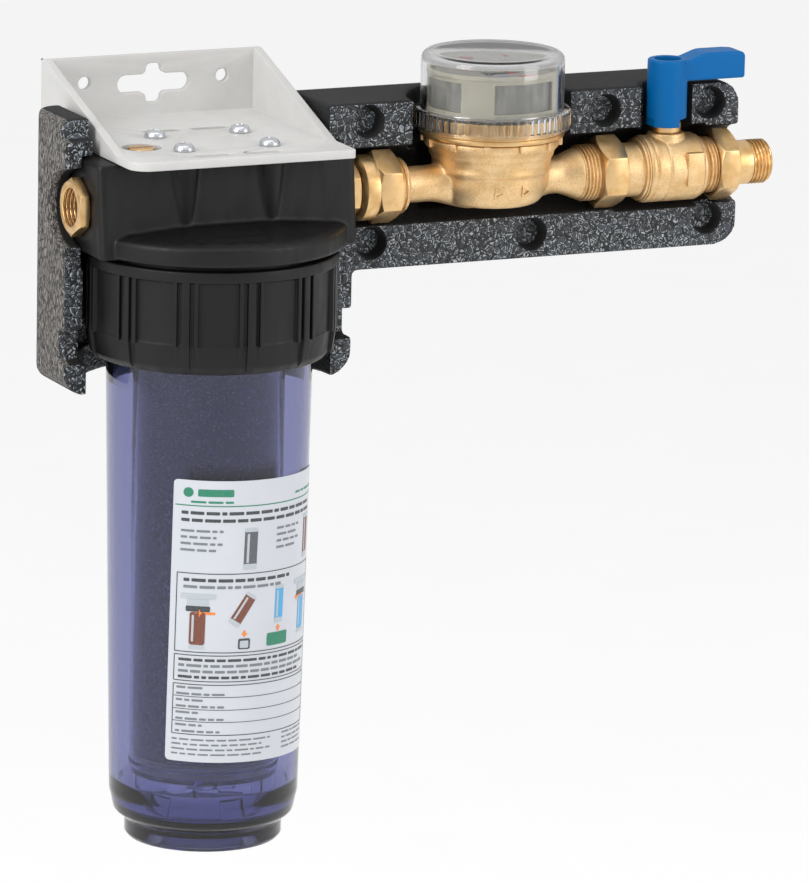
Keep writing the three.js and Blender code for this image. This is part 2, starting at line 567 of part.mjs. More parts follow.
function meterHood() {
  const { radius, bottom, top, wall, edge } = HOOD;
  const inside = radius - wall;
  return turned([[0, top - wall], [inside - edge, top - wall], [inside - 1, top - wall - 1], [inside, top - wall - edge],
    [inside, bottom], [radius + 0.5, bottom], [radius + 0.5, bottom + 1.6], [radius, bottom + 1.9],
    [radius, top - edge], [radius - 0.27 * edge, top - 0.27 * edge], [radius - edge, top], [0, top + 0.4]], 32)
    .translate(METER_X, 0, 0);
}
add("meter_hood", meterHood(), FINISH.clear);

function registerCase() {
  const { outer, inner, bottom, top, windowBottom, windowTop } = REGISTER;
  const wall = turned([[inner, bottom], [outer, bottom], [outer, top], [inner, top]]);
  const floor = rod(inner + 0.5, bottom, bottom + 1.6, 0, 0, ROUND);
  const windows = [];
  const windowCount = 4;
  for (let n = 0; n < windowCount; n++) {
    const angle = -Math.PI / 2 + 0.12 + (n * 2 * Math.PI) / windowCount;
    windows.push(box(inner - 8, outer + 2, -15, 15, windowBottom, windowTop).rotateZ(angle));
  }
  return cut(join(wall, floor), ...windows).translate(METER_X, 0, 0);
}
add("register_case", registerCase(), FINISH.cream);

// Number rollers on one axle under a slot in the dial.
const ROLLER = { radius: 3.4, width: 3.6, pitch: 4, y: -7, z: 47.5, count: 4 };
const rollerSpan = ROLLER.pitch * ROLLER.count;

function gearBlock() {
  const block = slabZ(rounded(-17, 17, -15, 15, 4), REGISTER.bottom + 1.8, 49.8, 4);
  const pocket = box(-rollerSpan / 2 - 1, rollerSpan / 2 + 1, ROLLER.y - 4.2, ROLLER.y + 4.2, 43, 51);
  const axle = rodX(0.8, -rollerSpan / 2 - 2, rollerSpan / 2 + 2, ROLLER.y, ROLLER.z, 12);
  return join(cut(block, pocket), axle).translate(METER_X, 0, 0);
}
add("register_gear_block", gearBlock(), FINISH.darkPlastic);

function registerDial() {
  const plate = rod(REGISTER.inner - 0.3, 50, 51.1, 0, 0, 40);
  const slot = box(-rollerSpan / 2 - 0.6, rollerSpan / 2 + 0.6, ROLLER.y - 3.8, ROLLER.y + 3.8, 49, 52);
  return cut(plate, slot).translate(METER_X, 0, 0);
}
add("register_dial", registerDial(), FINISH.dial);

for (let n = 0; n < ROLLER.count; n++) {
  const middle = METER_X + (n - (ROLLER.count - 1) / 2) * ROLLER.pitch;
  const x0 = middle - ROLLER.width / 2;
  const drum = tubeX(ROLLER.radius, 1, x0, x0 + ROLLER.width, 20).translate(0, ROLLER.y, ROLLER.z);
  add(`register_roller_${n + 1}`, drum, n < ROLLER.count - 1 ? FINISH.darkPlastic : FINISH.red);
}

function dialPointer() {
  const hand = polygon([[-0.5, -2.4], [0.5, -2.4], [0.9, 0], [0.15, 6.2], [-0.15, 6.2], [-0.9, 0]]);
  return join(slabZ(hand, 51.3, 51.9), rod(1.4, 51.3, 52.4, 0, 0, 16));
}
add("register_pointer", dialPointer().translate(METER_X + 11, 9, 0), FINISH.red);

function flowStar() {
  const star = new THREE.Shape();
  const points = 6;
  for (let n = 0; n < points * 2; n++) {
    const angle = (n * Math.PI) / points;
    const reach = n % 2 === 0 ? 4 : 1.8;
    const [x, y] = [reach * Math.cos(angle), reach * Math.sin(angle)];
    if (n === 0) star.moveTo(x, y);
    else star.lineTo(x, y);
  }
  return slabZ(star, 51.3, 52.2).translate(METER_X - 10, 9, 0);
}
add("register_flow_star", flowStar(), FINISH.red);

// ---------------------------------------------------------------- middle union and ball valve

// Union nut whose thread opens towards the meter or valve and whose end wall holds a flange.
function unionNut({ start, end }, hole) {
  const hex = hexagon(NUT_FLATS, start, end);
  const passage = rodX(hole, start - 1, end + 1);
  const thread = rodX(THREAD_LARGE + THREAD_CLEARANCE, start - 1, end - 2.4);
  return cut(hex, passage, thread);
}

add("mid_union_nut", unionNut(MID_NUT, 10.9), FINISH.brass);
add("mid_union_gasket", tubeX(12.4, 7.4, METER.outlet + 0.1, METER.outlet + 1.4), FINISH.fibre);

function valveEndPiece() {
  const flangeStart = METER.outlet + 1.5;
  const flange = rodX(12.9, flangeStart, MID_NUT.end - 2.7);
  const neck = rodX(10.4, flangeStart + 1, VALVE.neckStart + 1);
  const collar = turnedX([[0, VALVE.neckStart], [12.6, VALVE.neckStart], [12.6, VALVE.start - 1.4],
    [15.1, VALVE.start - 0.2], [0, VALVE.start - 0.2]]);
  const spigot = rodX(12.6, VALVE.start - 1, 222);
  const bore = rodX(VALVE.bore, flangeStart - 1, 224);
  const seatPocket = rodX(10.8, 218.6, 224);
  return cut(join(flange, neck, collar, spigot), bore, seatPocket);
}
add("valve_end_piece", valveEndPiece(), FINISH.castBrass);

function valveBody() {
  const { body, start, end, threadEnd, bore } = VALVE;
  const barrel = turnedX([[0, start], [body - 0.8, start], [body, start + 0.8], [body, 225.4], [body - 0.5, 226],
    [body, 226.6], [body, end - 3], [THREAD_LARGE, end], [0, end]], 24);
  const pad = box(234, 242.4, -body - 0.5, 0, -6.8, 9);
  const neck = rod(8.6, 10, 17, VALVE_X, 0);
  const thread = join(threaded(THREAD_LARGE, end - 1, end + 6.4), rodX(THREAD_ROOT, end + 5.4, threadEnd));
  const cavity = rodX(12.9, start - 1, 240);
  const seatPocket = rodX(10.8, 239, 242.4);
  const flow = rodX(bore, start, threadEnd + 1);
  const stemBore = rod(4.3, 8, 20, VALVE_X, 0, 16);
  const packingBore = rod(6.2, 13.6, 20, VALVE_X, 0, 20);
  return cut(join(barrel, pad, neck, thread), cavity, seatPocket, flow, stemBore, packingBore);
}
add("valve_body", valveBody(), FINISH.castBrass);

const ballSphere = (radius) => new THREE.SphereGeometry(radius, 18, 12).rotateX(Math.PI / 2);

const ballSeat = (x0, x1) => {
  const blank = tubeX(10.5, VALVE.bore + 0.2, x0, x1);
  return cut(blank, ballSphere(VALVE.ball + 0.35).translate(VALVE_X, 0, 0));
};
add("valve_seat_inlet", ballSeat(218.9, 222.4), FINISH.ptfe);
add("valve_seat_outlet", ballSeat(237.2, 242.1), FINISH.ptfe);

function valveBall() {
  const sphere = ballSphere(VALVE.ball);
  const bore = rodX(VALVE.bore, -13, 13);
  const drive = box(-8, 8, -1.7, 1.7, 8.6, 13);
  return cut(sphere, bore, drive).translate(VALVE_X, 0, 0);
}
add("valve_ball", valveBall(), FINISH.chrome);

function valveStem() {
  const tang = box(-4, 4, -1.4, 1.4, 8.9, 11.8);
  const collar = rod(4, 11.7, 14, 0, 0, 20);
  const shaft = rod(3.6, 13.5, 38, 0, 0, 20);
  const flats = [box(-6, 6, 2.5, 6, 24, 39), box(-6, 6, -6, -2.5, 24, 39)];
  const tapping = rod(1.4, 28, 39, 0, 0, 12);
  return cut(join(tang, collar, shaft), ...flats, tapping).translate(VALVE_X, 0, 0);
}
add("valve_stem", valveStem(), FINISH.brass);

add("stem_packing", ring(5.9, 3.9, 14.3, 16.6, 24).translate(VALVE_X, 0, 0), FINISH.ptfe);

function gland() {
  return turned([[3.9, 16.8], [6, 16.8], [6, 17.3], [6.9, 17.3], [6.9, 21.8], [3.9, 21.8]], 20)
    .translate(VALVE_X, 0, 0);
}
add("stem_gland", gland(), FINISH.brass);

function valveHandle() {
  const { hub, bottom, tab, hubTop, end, leverTop, leverBottom } = HANDLE;
  const barrel = turned([[0, bottom], [hub, bottom], [hub, hubTop - 1], [hub - 0.9, hubTop], [0, hubTop]], 24);
  const skirtSector = common(rod(hub, tab, bottom + 2, 0, 0, 24), box(-10, 1.5, -6.8, 6.8, tab, bottom + 2));
  const reach = end - VALVE_X;
  const profile = new THREE.Shape();
  profile.moveTo(5, leverBottom);
  profile.lineTo(reach, leverBottom);
  profile.lineTo(reach, leverTop - 2.2);
  profile.quadraticCurveTo(reach, leverTop, reach - 3, leverTop);
  profile.lineTo(17, leverTop);
  profile.quadraticCurveTo(11, leverTop - 0.4, 6, hubTop - 0.6);
  const lever = slabY(profile, -7, 7);
  const hollow = box(hub + 1, reach - 2, -5, 5, leverBottom - 1, leverTop - 3);
  const glandSpace = rod(7.4, tab - 1, 28);
  const stemSocket = common(rod(3.8, 27, 38.6), box(-5, 5, -2.7, 2.7, 27, 38.6));
  const screwHole = rod(2, 38, 44, 0, 0, 12);
  const recess = rod(6.4, 42.5, hubTop + 1);
  return cut(join(barrel, skirtSector, lever), hollow, glandSpace, stemSocket, screwHole, recess)
    .translate(VALVE_X, 0, 0);
}
add("valve_handle", valveHandle(), FINISH.blue);

function handleScrew() {
  const head = turned([[0, 42.6], [4.4, 42.6], [4.4, 44], [3.4, 45.4], [0, 45.8]], 20);
  const shank = rod(1.2, 30, 43, 0, 0, 12);
  const cross = [box(-2.4, 2.4, -0.4, 0.4, 44.4, 47), box(-0.4, 0.4, -2.4, 2.4, 44.4, 47)];
  return cut(join(head, shank), ...cross).translate(VALVE_X, 0, 0);
}
add("handle_screw", handleScrew(), FINISH.zinc);

// ---------------------------------------------------------------- outlet union

add("outlet_union_nut", unionNut(OUTLET_NUT, 10.9), FINISH.brass);
add("outlet_union_gasket", tubeX(12.4, 8.4, VALVE.threadEnd + 0.1, VALVE.threadEnd + 1.6), FINISH.fibre);

function outletTail() {
  const flange = rodX(12.9, VALVE.threadEnd + 1.7, OUTLET_NUT.end - 2.7);
  const neck = rodX(THREAD_SMALL, OUTLET_NUT.end - 3, TAIL_THREAD + 0.5, 0, 0, FINE);
  const thread = threaded(THREAD_SMALL, TAIL_THREAD, TAIL_END);
  return cut(join(flange, neck, thread), rodX(TAIL_BORE, VALVE.threadEnd, TAIL_END + 1));
}
add("outlet_tail", outletTail(), FINISH.brass);

export default assembly;
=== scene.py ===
"""The looks of a wall-mounted demineralisation filter: a clear cartridge filter, a water meter and
a ball valve in line, held in the rear half of a moulded foam shell.

Shapes are drawn in millimetres about the point where the filter's axis crosses the pipe's axis, with
X along the flow, Y towards the wall and Z up. show() places each finished shape in the frame, in metres."""

import json
import math

import bmesh
import bpy
from mathutils import Matrix, Vector


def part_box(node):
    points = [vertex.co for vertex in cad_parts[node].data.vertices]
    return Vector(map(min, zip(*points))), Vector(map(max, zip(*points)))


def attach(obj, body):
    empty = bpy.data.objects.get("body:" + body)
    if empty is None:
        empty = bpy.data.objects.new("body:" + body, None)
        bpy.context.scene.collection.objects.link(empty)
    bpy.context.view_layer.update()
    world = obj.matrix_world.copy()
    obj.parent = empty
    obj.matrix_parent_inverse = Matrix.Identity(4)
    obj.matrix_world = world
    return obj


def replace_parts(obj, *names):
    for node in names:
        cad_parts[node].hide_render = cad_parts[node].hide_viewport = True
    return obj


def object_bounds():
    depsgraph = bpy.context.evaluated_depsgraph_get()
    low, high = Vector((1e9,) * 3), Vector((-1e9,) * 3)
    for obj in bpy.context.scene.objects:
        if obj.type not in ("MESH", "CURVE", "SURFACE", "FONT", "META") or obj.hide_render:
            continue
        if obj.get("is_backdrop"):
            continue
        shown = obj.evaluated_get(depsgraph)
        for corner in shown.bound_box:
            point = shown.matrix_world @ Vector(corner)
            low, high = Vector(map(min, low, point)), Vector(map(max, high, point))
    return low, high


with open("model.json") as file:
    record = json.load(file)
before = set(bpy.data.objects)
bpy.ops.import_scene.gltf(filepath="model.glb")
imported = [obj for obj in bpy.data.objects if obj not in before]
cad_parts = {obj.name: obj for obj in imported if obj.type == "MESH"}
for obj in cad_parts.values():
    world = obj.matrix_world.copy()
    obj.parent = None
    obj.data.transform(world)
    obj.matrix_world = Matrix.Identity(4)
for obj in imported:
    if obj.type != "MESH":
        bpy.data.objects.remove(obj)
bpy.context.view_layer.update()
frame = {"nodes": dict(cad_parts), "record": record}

MM = 0.001
TURN = 2 * math.pi


def centre(node):
    low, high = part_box(node)
    return (low + high) / 2


ORIGIN = Vector((centre("bowl").x, centre("bowl").y, centre("outlet_tail").z))
TO_FRAME = Matrix.Translation(ORIGIN) @ Matrix.Scale(MM, 4)


def span(node, axis):
    """Lowest and highest coordinate of a CAD node along "x", "y" or "z", in the drawing's millimetres."""
    low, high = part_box(node)
    return tuple((getattr(corner, axis) - getattr(ORIGIN, axis)) / MM for corner in (low, high))


METER_X = (centre("meter_hood").x - ORIGIN.x) / MM
VALVE_X = (centre("stem_gland").x - ORIGIN.x) / MM
AT_METER = (METER_X, 0, 0)
AT_VALVE = (VALVE_X, 0, 0)

# ---------------------------------------------------------------- drawing solids


def softened(corners):
    """A closed outline of corners (u, v) or (u, v, radius), with each radius drawn as an arc."""
    points = []
    count = len(corners)
    for i, corner in enumerate(corners):
        here = Vector(corner[:2])
        radius = corner[2] if len(corner) > 2 else 0
        if not radius:
            points.append(here)
            continue
        back = Vector(corners[i - 1][:2]) - here
        ahead = Vector(corners[(i + 1) % count][:2]) - here
        half = back.angle(ahead) / 2
        if half > math.radians(89):
            points.append(here)
            continue
        reach = min(radius / math.tan(half), 0.5 * back.length, 0.5 * ahead.length)
        radius = reach * math.tan(half)
        middle = here + (back.normalized() + ahead.normalized()).normalized() * (radius / math.sin(half))
        start = here + back.normalized() * reach - middle
        sweep = math.copysign(math.pi - 2 * half, ahead.cross(back))
        steps = max(2, math.ceil(abs(sweep) / (math.pi / 12)))
        for step in range(steps + 1):
            points.append(middle + Matrix.Rotation(sweep * step / steps, 2) @ start)
    return [point for i, point in enumerate(points) if (point - points[i - 1]).length > 0.02]


def placed(name, data):
    """A new object of the scene."""
    made = bpy.data.objects.new(name, data)
    bpy.context.scene.collection.objects.link(made)
    return made


def solid(verts, faces):
    mesh = bpy.data.meshes.new("shape")
    mesh.from_pydata([tuple(v) for v in verts], [], faces)
    shape = bmesh.new()
    shape.from_mesh(mesh)
    bmesh.ops.remove_doubles(shape, verts=shape.verts, dist=1e-4)
    bmesh.ops.recalc_face_normals(shape, faces=shape.faces)
    shape.to_mesh(mesh)
    shape.free()
    return placed("shape", mesh)


def stitched(rings, closed):
    """Faces between rings of vertex numbers, each ring whole or a single pole."""
    faces = []
    pairs = list(zip(rings, rings[1:]))
    if closed:
        pairs.append((rings[-1], rings[0]))
    for one, two in pairs:
        count = max(len(one), len(two))
        for s in range(count):
            face = [one[s % len(one)], one[(s + 1) % len(one)], two[(s + 1) % len(two)], two[s % len(two)]]
            face = list(dict.fromkeys(face))
            if len(face) > 2:
                faces.append(face)
    return faces


AXES = {"Z": (0, 1, 2), "X": (2, 0, 1), "Y": (1, 2, 0)}


def turned(corners, along="Z", at=(0, 0, 0), segments=96):
    """A profile of (radius, height) corners turned about an axis. Off the axis it closes on itself."""
    points = softened(corners)
    verts = []
    rings = []
    for radius, height in points:
        count = 1 if radius < 1e-6 else segments
        rings.append(list(range(len(verts), len(verts) + count)))
        for s in range(count):
            angle = TURN * s / segments
            spot = (radius * math.cos(angle), radius * math.sin(angle), height)
            verts.append([spot[k] + at[i] for i, k in enumerate(AXES[along])])
    return solid(verts, stitched(rings, points[0].x > 1e-6))


def rod(radius, low, high, along="Z", at=(0, 0, 0), segments=48, end_radius=None, edge=0.0):
    far = radius if end_radius is None else end_radius
    return turned([(0, low), (radius, low, edge), (far, high, edge), (0, high)], along, at, segments)


def ring(outer, inner, low, high, along="Z", at=(0, 0, 0), segments=96, edge=0.0):
    corners = [(inner, low, edge), (outer, low, edge), (outer, high, edge), (inner, high, edge)]
    return turned(corners, along, at, segments)


def inset(points, distance):
    moved = []
    for i, here in enumerate(points):
        first = (here - points[i - 1]).normalized()
        second = (points[(i + 1) % len(points)] - here).normalized()
        normal = Vector((-first.y - second.y, first.x + second.x)).normalized()
        lean = max(0.4, normal.dot(Vector((-first.y, first.x))))
        moved.append(here + normal * (distance / lean))
    return moved


def prism(corners, low, high, across="Z", edge=0.0, steps=3):
    """A closed outline, anticlockwise in (x, y), (x, z) or (y, z), between two planes, with rounded rims."""
    points = softened(corners)
    layers = [(0.0, low), (0.0, high)]
    if edge:
        turns = [math.pi / 2 * s / steps for s in range(steps + 1)]
        foot = [(edge * (1 - math.sin(a)), low + edge * (1 - math.cos(a))) for a in turns]
        layers = foot + [(gap, low + high - level) for gap, level in reversed(foot)]
    order = {"Z": (0, 1, 2), "Y": (0, 2, 1), "X": (2, 0, 1)}[across]
    verts = []
    rings = []
    for gap, level in layers:
        outline = inset(points, gap) if gap else points
        rings.append(list(range(len(verts), len(verts) + len(outline))))
        for point in outline:
            spot = (point.x, point.y, level)
            verts.append([spot[k] for k in order])
    return solid(verts, stitched(rings, False) + [rings[0], rings[-1]])


def rect(u0, u1, v0, v1, radius=0):
    """A rectangle's corners from the low left one anticlockwise, with one radius or one for each."""
    radii = radius if isinstance(radius, (list, tuple)) else [radius] * 4
    return [(u, v, r) for (u, v), r in zip([(u0, v0), (u1, v0), (u1, v1), (u0, v1)], radii)]


def bar(x0, x1, y0, y1, z0, z1, edge=0.0):
    return prism(rect(x0, x1, y0, y1), z0, z1, "Z", edge)


def moved(piece, shift=(0, 0, 0), turn=0.0):
    """The piece turned about the drawing's axis, in degrees, and then shifted."""
    piece.data.transform(Matrix.Translation(shift) @ Matrix.Rotation(math.radians(turn), 4, "Z"))
    return piece


def around(count, make, first=0.0, about=(0, 0, 0)):
    """Copies of a shape made at angle 0, turned evenly round Z and shifted."""
    return [moved(make(), about, first + n * 360 / count) for n in range(count)]


def settle(piece):
    """Applies the piece's modifiers."""
    bpy.context.view_layer.update()
    graph = bpy.context.evaluated_depsgraph_get()
    mesh = bpy.data.meshes.new_from_object(piece.evaluated_get(graph))
    old = piece.data
    piece.modifiers.clear()
    piece.data = mesh
    bpy.data.meshes.remove(old)
    return piece


def boolean(base, others, operation):
    for other in others:
        step = base.modifiers.new("boolean", "BOOLEAN")
        step.operation = operation
        step.solver = "MANIFOLD"
        step.object = other
    settle(base)
    for other in others:
        mesh = other.data
        bpy.data.objects.remove(other)
        bpy.data.meshes.remove(mesh)
    return base


def joined(base, *others):
    return boolean(base, others, "UNION")


def carved(base, *others):
    return boolean(base, others, "DIFFERENCE")


def shared(base, *others):
    return boolean(base, others, "INTERSECT")


def eased(piece, width, degrees=35, segments=2):
    """Rounds the edges sharper than an angle."""
    bevel = piece.modifiers.new("edges", "BEVEL")
    bevel.limit_method = "ANGLE"
    bevel.angle_limit = math.radians(degrees)
    bevel.width = width
    bevel.segments = segments
    bevel.use_clamp_overlap = False
    return settle(piece)


def cast(piece, grain=0.5, rounds=4):
    """Rounds every edge and inner corner as a casting or a moulding has them."""
    remesh = piece.modifiers.new("grain", "REMESH")
    remesh.mode = "VOXEL"
    remesh.voxel_size = grain
    smooth = piece.modifiers.new("soft", "SMOOTH")
    smooth.factor = 0.5
    smooth.iterations = rounds
    return settle(piece)


def thread(major, start, end):
    """A right-handed pipe thread along X, solid to the axis, fading out at both ends."""
    pitch = 1.814
    depth = 0.6 * pitch
    segments = 64
    steps = math.ceil((end - start) / pitch * 10)
    verts = [(start, 0, 0)]
    rings = [[0]]
    for row in range(steps + 1):
        x = start + (end - start) * row / steps
        fade = min(1.0, (x - start) / depth, (end - x) / depth)
        rings.append(list(range(len(verts), len(verts) + segments)))
        for s in range(segments):
            phase = (x / pitch - s / segments) % 1
            flank = min(1.0, max(0.0, (0.85 - abs(phase - 0.5) * 2) / 0.7))
            radius = major - depth + depth * fade * flank * flank * (3 - 2 * flank)
            angle = TURN * s / segments
            verts.append((x, radius * math.cos(angle), radius * math.sin(angle)))
    rings.append([len(verts)])
    verts.append((end, 0, 0))
    return solid(verts, stitched(rings, False))


def cogged(count, step, edge=0.0):
    """An outline of equal steps round a centre, each drawn by corners (share of the step, radius)."""
    outline = []
    for n in range(count):
        for share, radius in step:
            angle = TURN * (n + share) / count
            outline.append((radius * math.cos(angle), radius * math.sin(angle), edge))
    return outline


def hexagon(flats, start, end, chamfer):
    """A nut's outside along X with corners at top and bottom and turned chamfers."""
    corner = flats / math.sqrt(3)
    block = prism(cogged(6, [(1.5, corner)], 0.5), start, end, "X")
    face = flats / 2 * 0.97
    outside = corner + 0.2
    cone = turned([(0, start), (face, start, 0.3), (outside, start + chamfer), (outside, end - chamfer),
                   (face, end, 0.3), (0, end)], "X")
    return shared(block, cone)


# ---------------------------------------------------------------- putting pieces in the frame

BODY_OF = {node: body for body, nodes in frame["record"]["behaviour"]["bodies"].items() for node in nodes}


def dress(piece, name, node, materials, crease):
    piece.name = name
    piece.data.name = name
    piece.data.transform(TO_FRAME)
    piece.data.materials.clear()
    for material in materials:
        piece.data.materials.append(material)
    piece.data.shade_smooth()
    piece.data.set_sharp_from_angle(angle=math.radians(crease))
    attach(piece, BODY_OF[node])
    return piece


def show(piece, node, *materials, crease=35):
    """Places a finished shape in the frame as the detailed form of a CAD node."""
    dress(piece, node + "_detailed", node, materials, crease)
    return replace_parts(piece, node)


def detail(piece, name, node, material, crease=35):
    """Places an extra shape that rides with a CAD node and has its finish."""
    return dress(piece, name, node, [material], crease)


# ---------------------------------------------------------------- materials


def srgb(*levels):
    """A colour from its red, green and blue in sRGB, 0 to 255."""
    return tuple(((c / 255 + 0.055) / 1.055) ** 2.4 if c > 10 else c / 3294.6 for c in levels) + (1.0,)


def grey(value):
    return (value, value, value, 1)


class Finish:
    """A Principled material with a few short ways to draw its pattern in the frame's coordinates."""

    def __init__(self, name, colour, roughness, metallic=0.0, **plain):
        self.material = bpy.data.materials.new(name)
        self.material.use_nodes = True
        self.tree = self.material.node_tree
        self.shader = self.tree.nodes["Principled BSDF"]
        self.where = self.node("ShaderNodeTexCoord").outputs["Object"]
        self.normal = None
        self.set("Base Color", colour)
        self.set("Roughness", roughness)
        self.set("Metallic", metallic)
        for socket, value in plain.items():
            self.set(socket.replace("_", " ").title().replace("Ior", "IOR"), value)

    def node(self, kind, **settings):
        made = self.tree.nodes.new(kind)
        for key, value in settings.items():
            setattr(made, key, value)
        return made

    def feed(self, socket, value):
        if isinstance(value, bpy.types.NodeSocket):
            self.tree.links.new(value, socket)
        else:
            socket.default_value = value

    def set(self, socket, value):
        self.feed(self.shader.inputs[socket], value)

    def stretched(self, stretch, shift=(0, 0, 0)):
        mapping = self.node("ShaderNodeMapping")
        self.feed(mapping.inputs["Vector"], self.where)
        mapping.inputs["Scale"].default_value = stretch
        mapping.inputs["Location"].default_value = shift
        return mapping.outputs["Vector"]

    def noise(self, size, detail=3, stretch=(1, 1, 1), shift=(0, 0, 0)):
        """Noise whose features are about size millimetres."""
        made = self.node("ShaderNodeTexNoise")
        self.feed(made.inputs["Vector"], self.stretched(stretch, shift))
        made.inputs["Scale"].default_value = 1 / (size * MM)
        made.inputs["Detail"].default_value = detail
        return made.outputs["Fac"]

    def cells(self, size, feature="F1", output="Distance", stretch=(1, 1, 1)):
        made = self.node("ShaderNodeTexVoronoi", feature=feature)
        self.feed(made.inputs["Vector"], self.stretched(stretch))
        made.inputs["Scale"].default_value = 1 / (size * MM)
        return made.outputs[output]

    def level(self, value, low, high, to_low=0.0, to_high=1.0):
        made = self.node("ShaderNodeMapRange", interpolation_type="SMOOTHSTEP")
        for socket, number in zip(("Value", "From Min", "From Max", "To Min", "To Max"),
                                  (value, low, high, to_low, to_high)):
            self.feed(made.inputs[socket], number)
        return made.outputs["Result"]

    def mix(self, share, one, two):
        made = self.node("ShaderNodeMix", data_type="RGBA")
        colour_a, colour_b = [socket for socket in made.inputs if socket.type == "RGBA"]
        self.feed(made.inputs["Factor"], share)
        self.feed(colour_a, one)
        self.feed(colour_b, two)
        return made.outputs[2]

    def tint(self, share, one, two):
        """Colours the surface with a mix of two colours."""
        self.set("Base Color", self.mix(share, one, two))

    def roughen(self, value, low, high, to_low, to_high):
        """Lets the roughness follow a pattern."""
        self.set("Roughness", self.level(value, low, high, to_low, to_high))

    def cell_colours(self, size):
        """Two independent random numbers for each cell."""
        split = self.node("ShaderNodeSeparateColor")
        self.feed(split.inputs["Color"], self.cells(size, "F1", "Color"))
        return split.outputs["Red"], split.outputs["Green"]

    def times(self, one, two):
        made = self.node("ShaderNodeMath", operation="MULTIPLY")
        self.feed(made.inputs[0], one)
        self.feed(made.inputs[1], two)
        return made.outputs[0]

    def bump(self, height, depth, strength=1.0):
        """Raises the surface by height times depth millimetres, on top of earlier bumps."""
        made = self.node("ShaderNodeBump")
        made.inputs["Strength"].default_value = strength
        made.inputs["Distance"].default_value = depth * MM
        self.feed(made.inputs["Height"], height)
        if self.normal:
            self.feed(made.inputs["Normal"], self.normal)
        self.normal = made.outputs["Normal"]
        self.set("Normal", self.normal)


def foam_beads():
    """The moulded face of expanded foam: flattened beads whose broken rims are painted paler as a painted
    highlight, with painted shade in the gaps between the beads.
    """
    f = Finish("foam_beads", srgb(34, 38, 44), 0.6)
    size = 3.3
    rim = f.cells(size, "DISTANCE_TO_EDGE")
    shade, _ = f.cell_colours(size)
    grain = f.noise(0.5, 5)
    patch = f.noise(1.3, 3, shift=(3, 1, 2))
    bead = f.mix(shade, srgb(20, 22, 25), srgb(58, 63, 69))
    bead = f.mix(f.level(grain, 0.52, 0.76, 0.0, 0.6), bead, srgb(96, 102, 108))
    # painted highlight: paler patches near the bead rims, where light catches them
    near_rim = f.level(rim, 0.12, 0.24, 1.0, 0.0)
    painted_rim_highlight = f.times(near_rim, f.level(patch, 0.44, 0.62))
    colour = f.mix(painted_rim_highlight, bead, srgb(172, 180, 186))
    # painted shade: near-black lines in the gaps between the beads
    colour = f.mix(f.level(rim, 0.04, 0.11, 1.0, 0.0), colour, srgb(5, 5, 6))
    f.set("Base Color", colour)
    f.roughen(grain, 0.3, 0.7, 0.42, 0.75)
    f.bump(f.level(rim, 0.02, 0.34), 0.5, 1.0)
    f.bump(grain, 0.12, 0.6)
    return f.material


def foam_skin():
    """The foam's sides, where the beads were drawn out along the mould."""
    f = Finish("foam_skin", srgb(70, 68, 66), 0.75)
    streak = f.noise(0.5, 5, (1, 1, 0.16))
    cell = f.cells(2.2, "DISTANCE_TO_EDGE", stretch=(1, 1, 0.5))
    base = f.mix(f.level(streak, 0.4, 0.6), srgb(28, 27, 27), srgb(136, 131, 126))
    f.tint(f.level(cell, 0.0, 0.1, 0.85, 0.0), base, srgb(18, 18, 19))
    f.bump(streak, 0.3, 0.8)
    f.bump(f.level(cell, 0.0, 0.12), 0.25, 0.6)
    return f.material


def foam_inner():
    """The dark, smooth walls of the pockets: the same foam painted darker, as painted shade."""
    f = Finish("foam_inner", srgb(20, 20, 22), 0.8)
    cell = f.cells(3.2, "DISTANCE_TO_EDGE")
    grain = f.noise(0.7, 4)
    # painted shade: the pocket walls take a darker copy of the foam's colour
    f.tint(f.level(grain, 0.4, 0.7), srgb(8, 8, 9), srgb(26, 27, 30))
    f.bump(f.level(cell, 0.0, 0.12), 0.25, 0.6)
    f.bump(grain, 0.1, 0.6)
    return f.material


def moulded_white():
    f = Finish("moulded_white", srgb(196, 195, 192), 0.45, subsurface_weight=0.06, subsurface_scale=0.002)
    cloud = f.noise(14, 3)
    grain = f.noise(0.35, 3)
    f.tint(cloud, srgb(190, 189, 187), srgb(202, 201, 199))
    f.roughen(grain, 0.3, 0.7, 0.4, 0.52)
    f.bump(grain, 0.025, 0.5)
    f.bump(f.noise(9, 2), 0.25, 0.15)
    return f.material


def moulded_black():
    f = Finish("moulded_black", srgb(15, 14, 14), 0.46, specular_ior_level=0.3)
    cloud = f.noise(18, 3)
    grain = f.noise(0.4, 3)
    flow = f.noise(5, 4, (1, 1, 0.25))
    f.tint(cloud, srgb(12, 11, 11), srgb(20, 19, 19))
    f.roughen(flow, 0.3, 0.75, 0.4, 0.56)
    f.bump(grain, 0.03, 0.5)
    f.bump(flow, 0.18, 0.16)
    return f.material


def machined_brass(name="machined_brass", stretch=(1, 0.06, 0.06)):
    """Turned brass, with fine tool marks round the pipe's axis."""
    f = Finish(name, srgb(220, 184, 132), 0.34, 1.0)
    lathe = f.noise(0.28, 2, stretch)
    cloud = f.noise(5, 4)
    f.tint(f.level(cloud, 0.35, 0.7), srgb(226, 190, 138), srgb(208, 168, 112))
    f.roughen(cloud, 0.3, 0.7, 0.28, 0.4)
    f.bump(lathe, 0.02, 0.5)
    f.bump(f.noise(1.1, 3), 0.02, 0.3)
    return f.material


def cast_brass():
    """Sand-blasted cast brass with a fine sparkling grain."""
    f = Finish("cast_brass", srgb(210, 172, 120), 0.5, 1.0)
    grain = f.noise(0.42, 4)
    pit = f.cells(0.6)
    cloud = f.noise(7, 3)
    tone = f.mix(f.level(cloud, 0.3, 0.7), srgb(234, 202, 154), srgb(218, 182, 130))
    f.tint(f.level(grain, 0.3, 0.48, 0.6, 0.0), tone, srgb(150, 108, 62))
    f.roughen(grain, 0.3, 0.7, 0.56, 0.38)
    f.bump(grain, 0.12, 0.75)
    f.bump(pit, 0.07, 0.5)
    return f.material


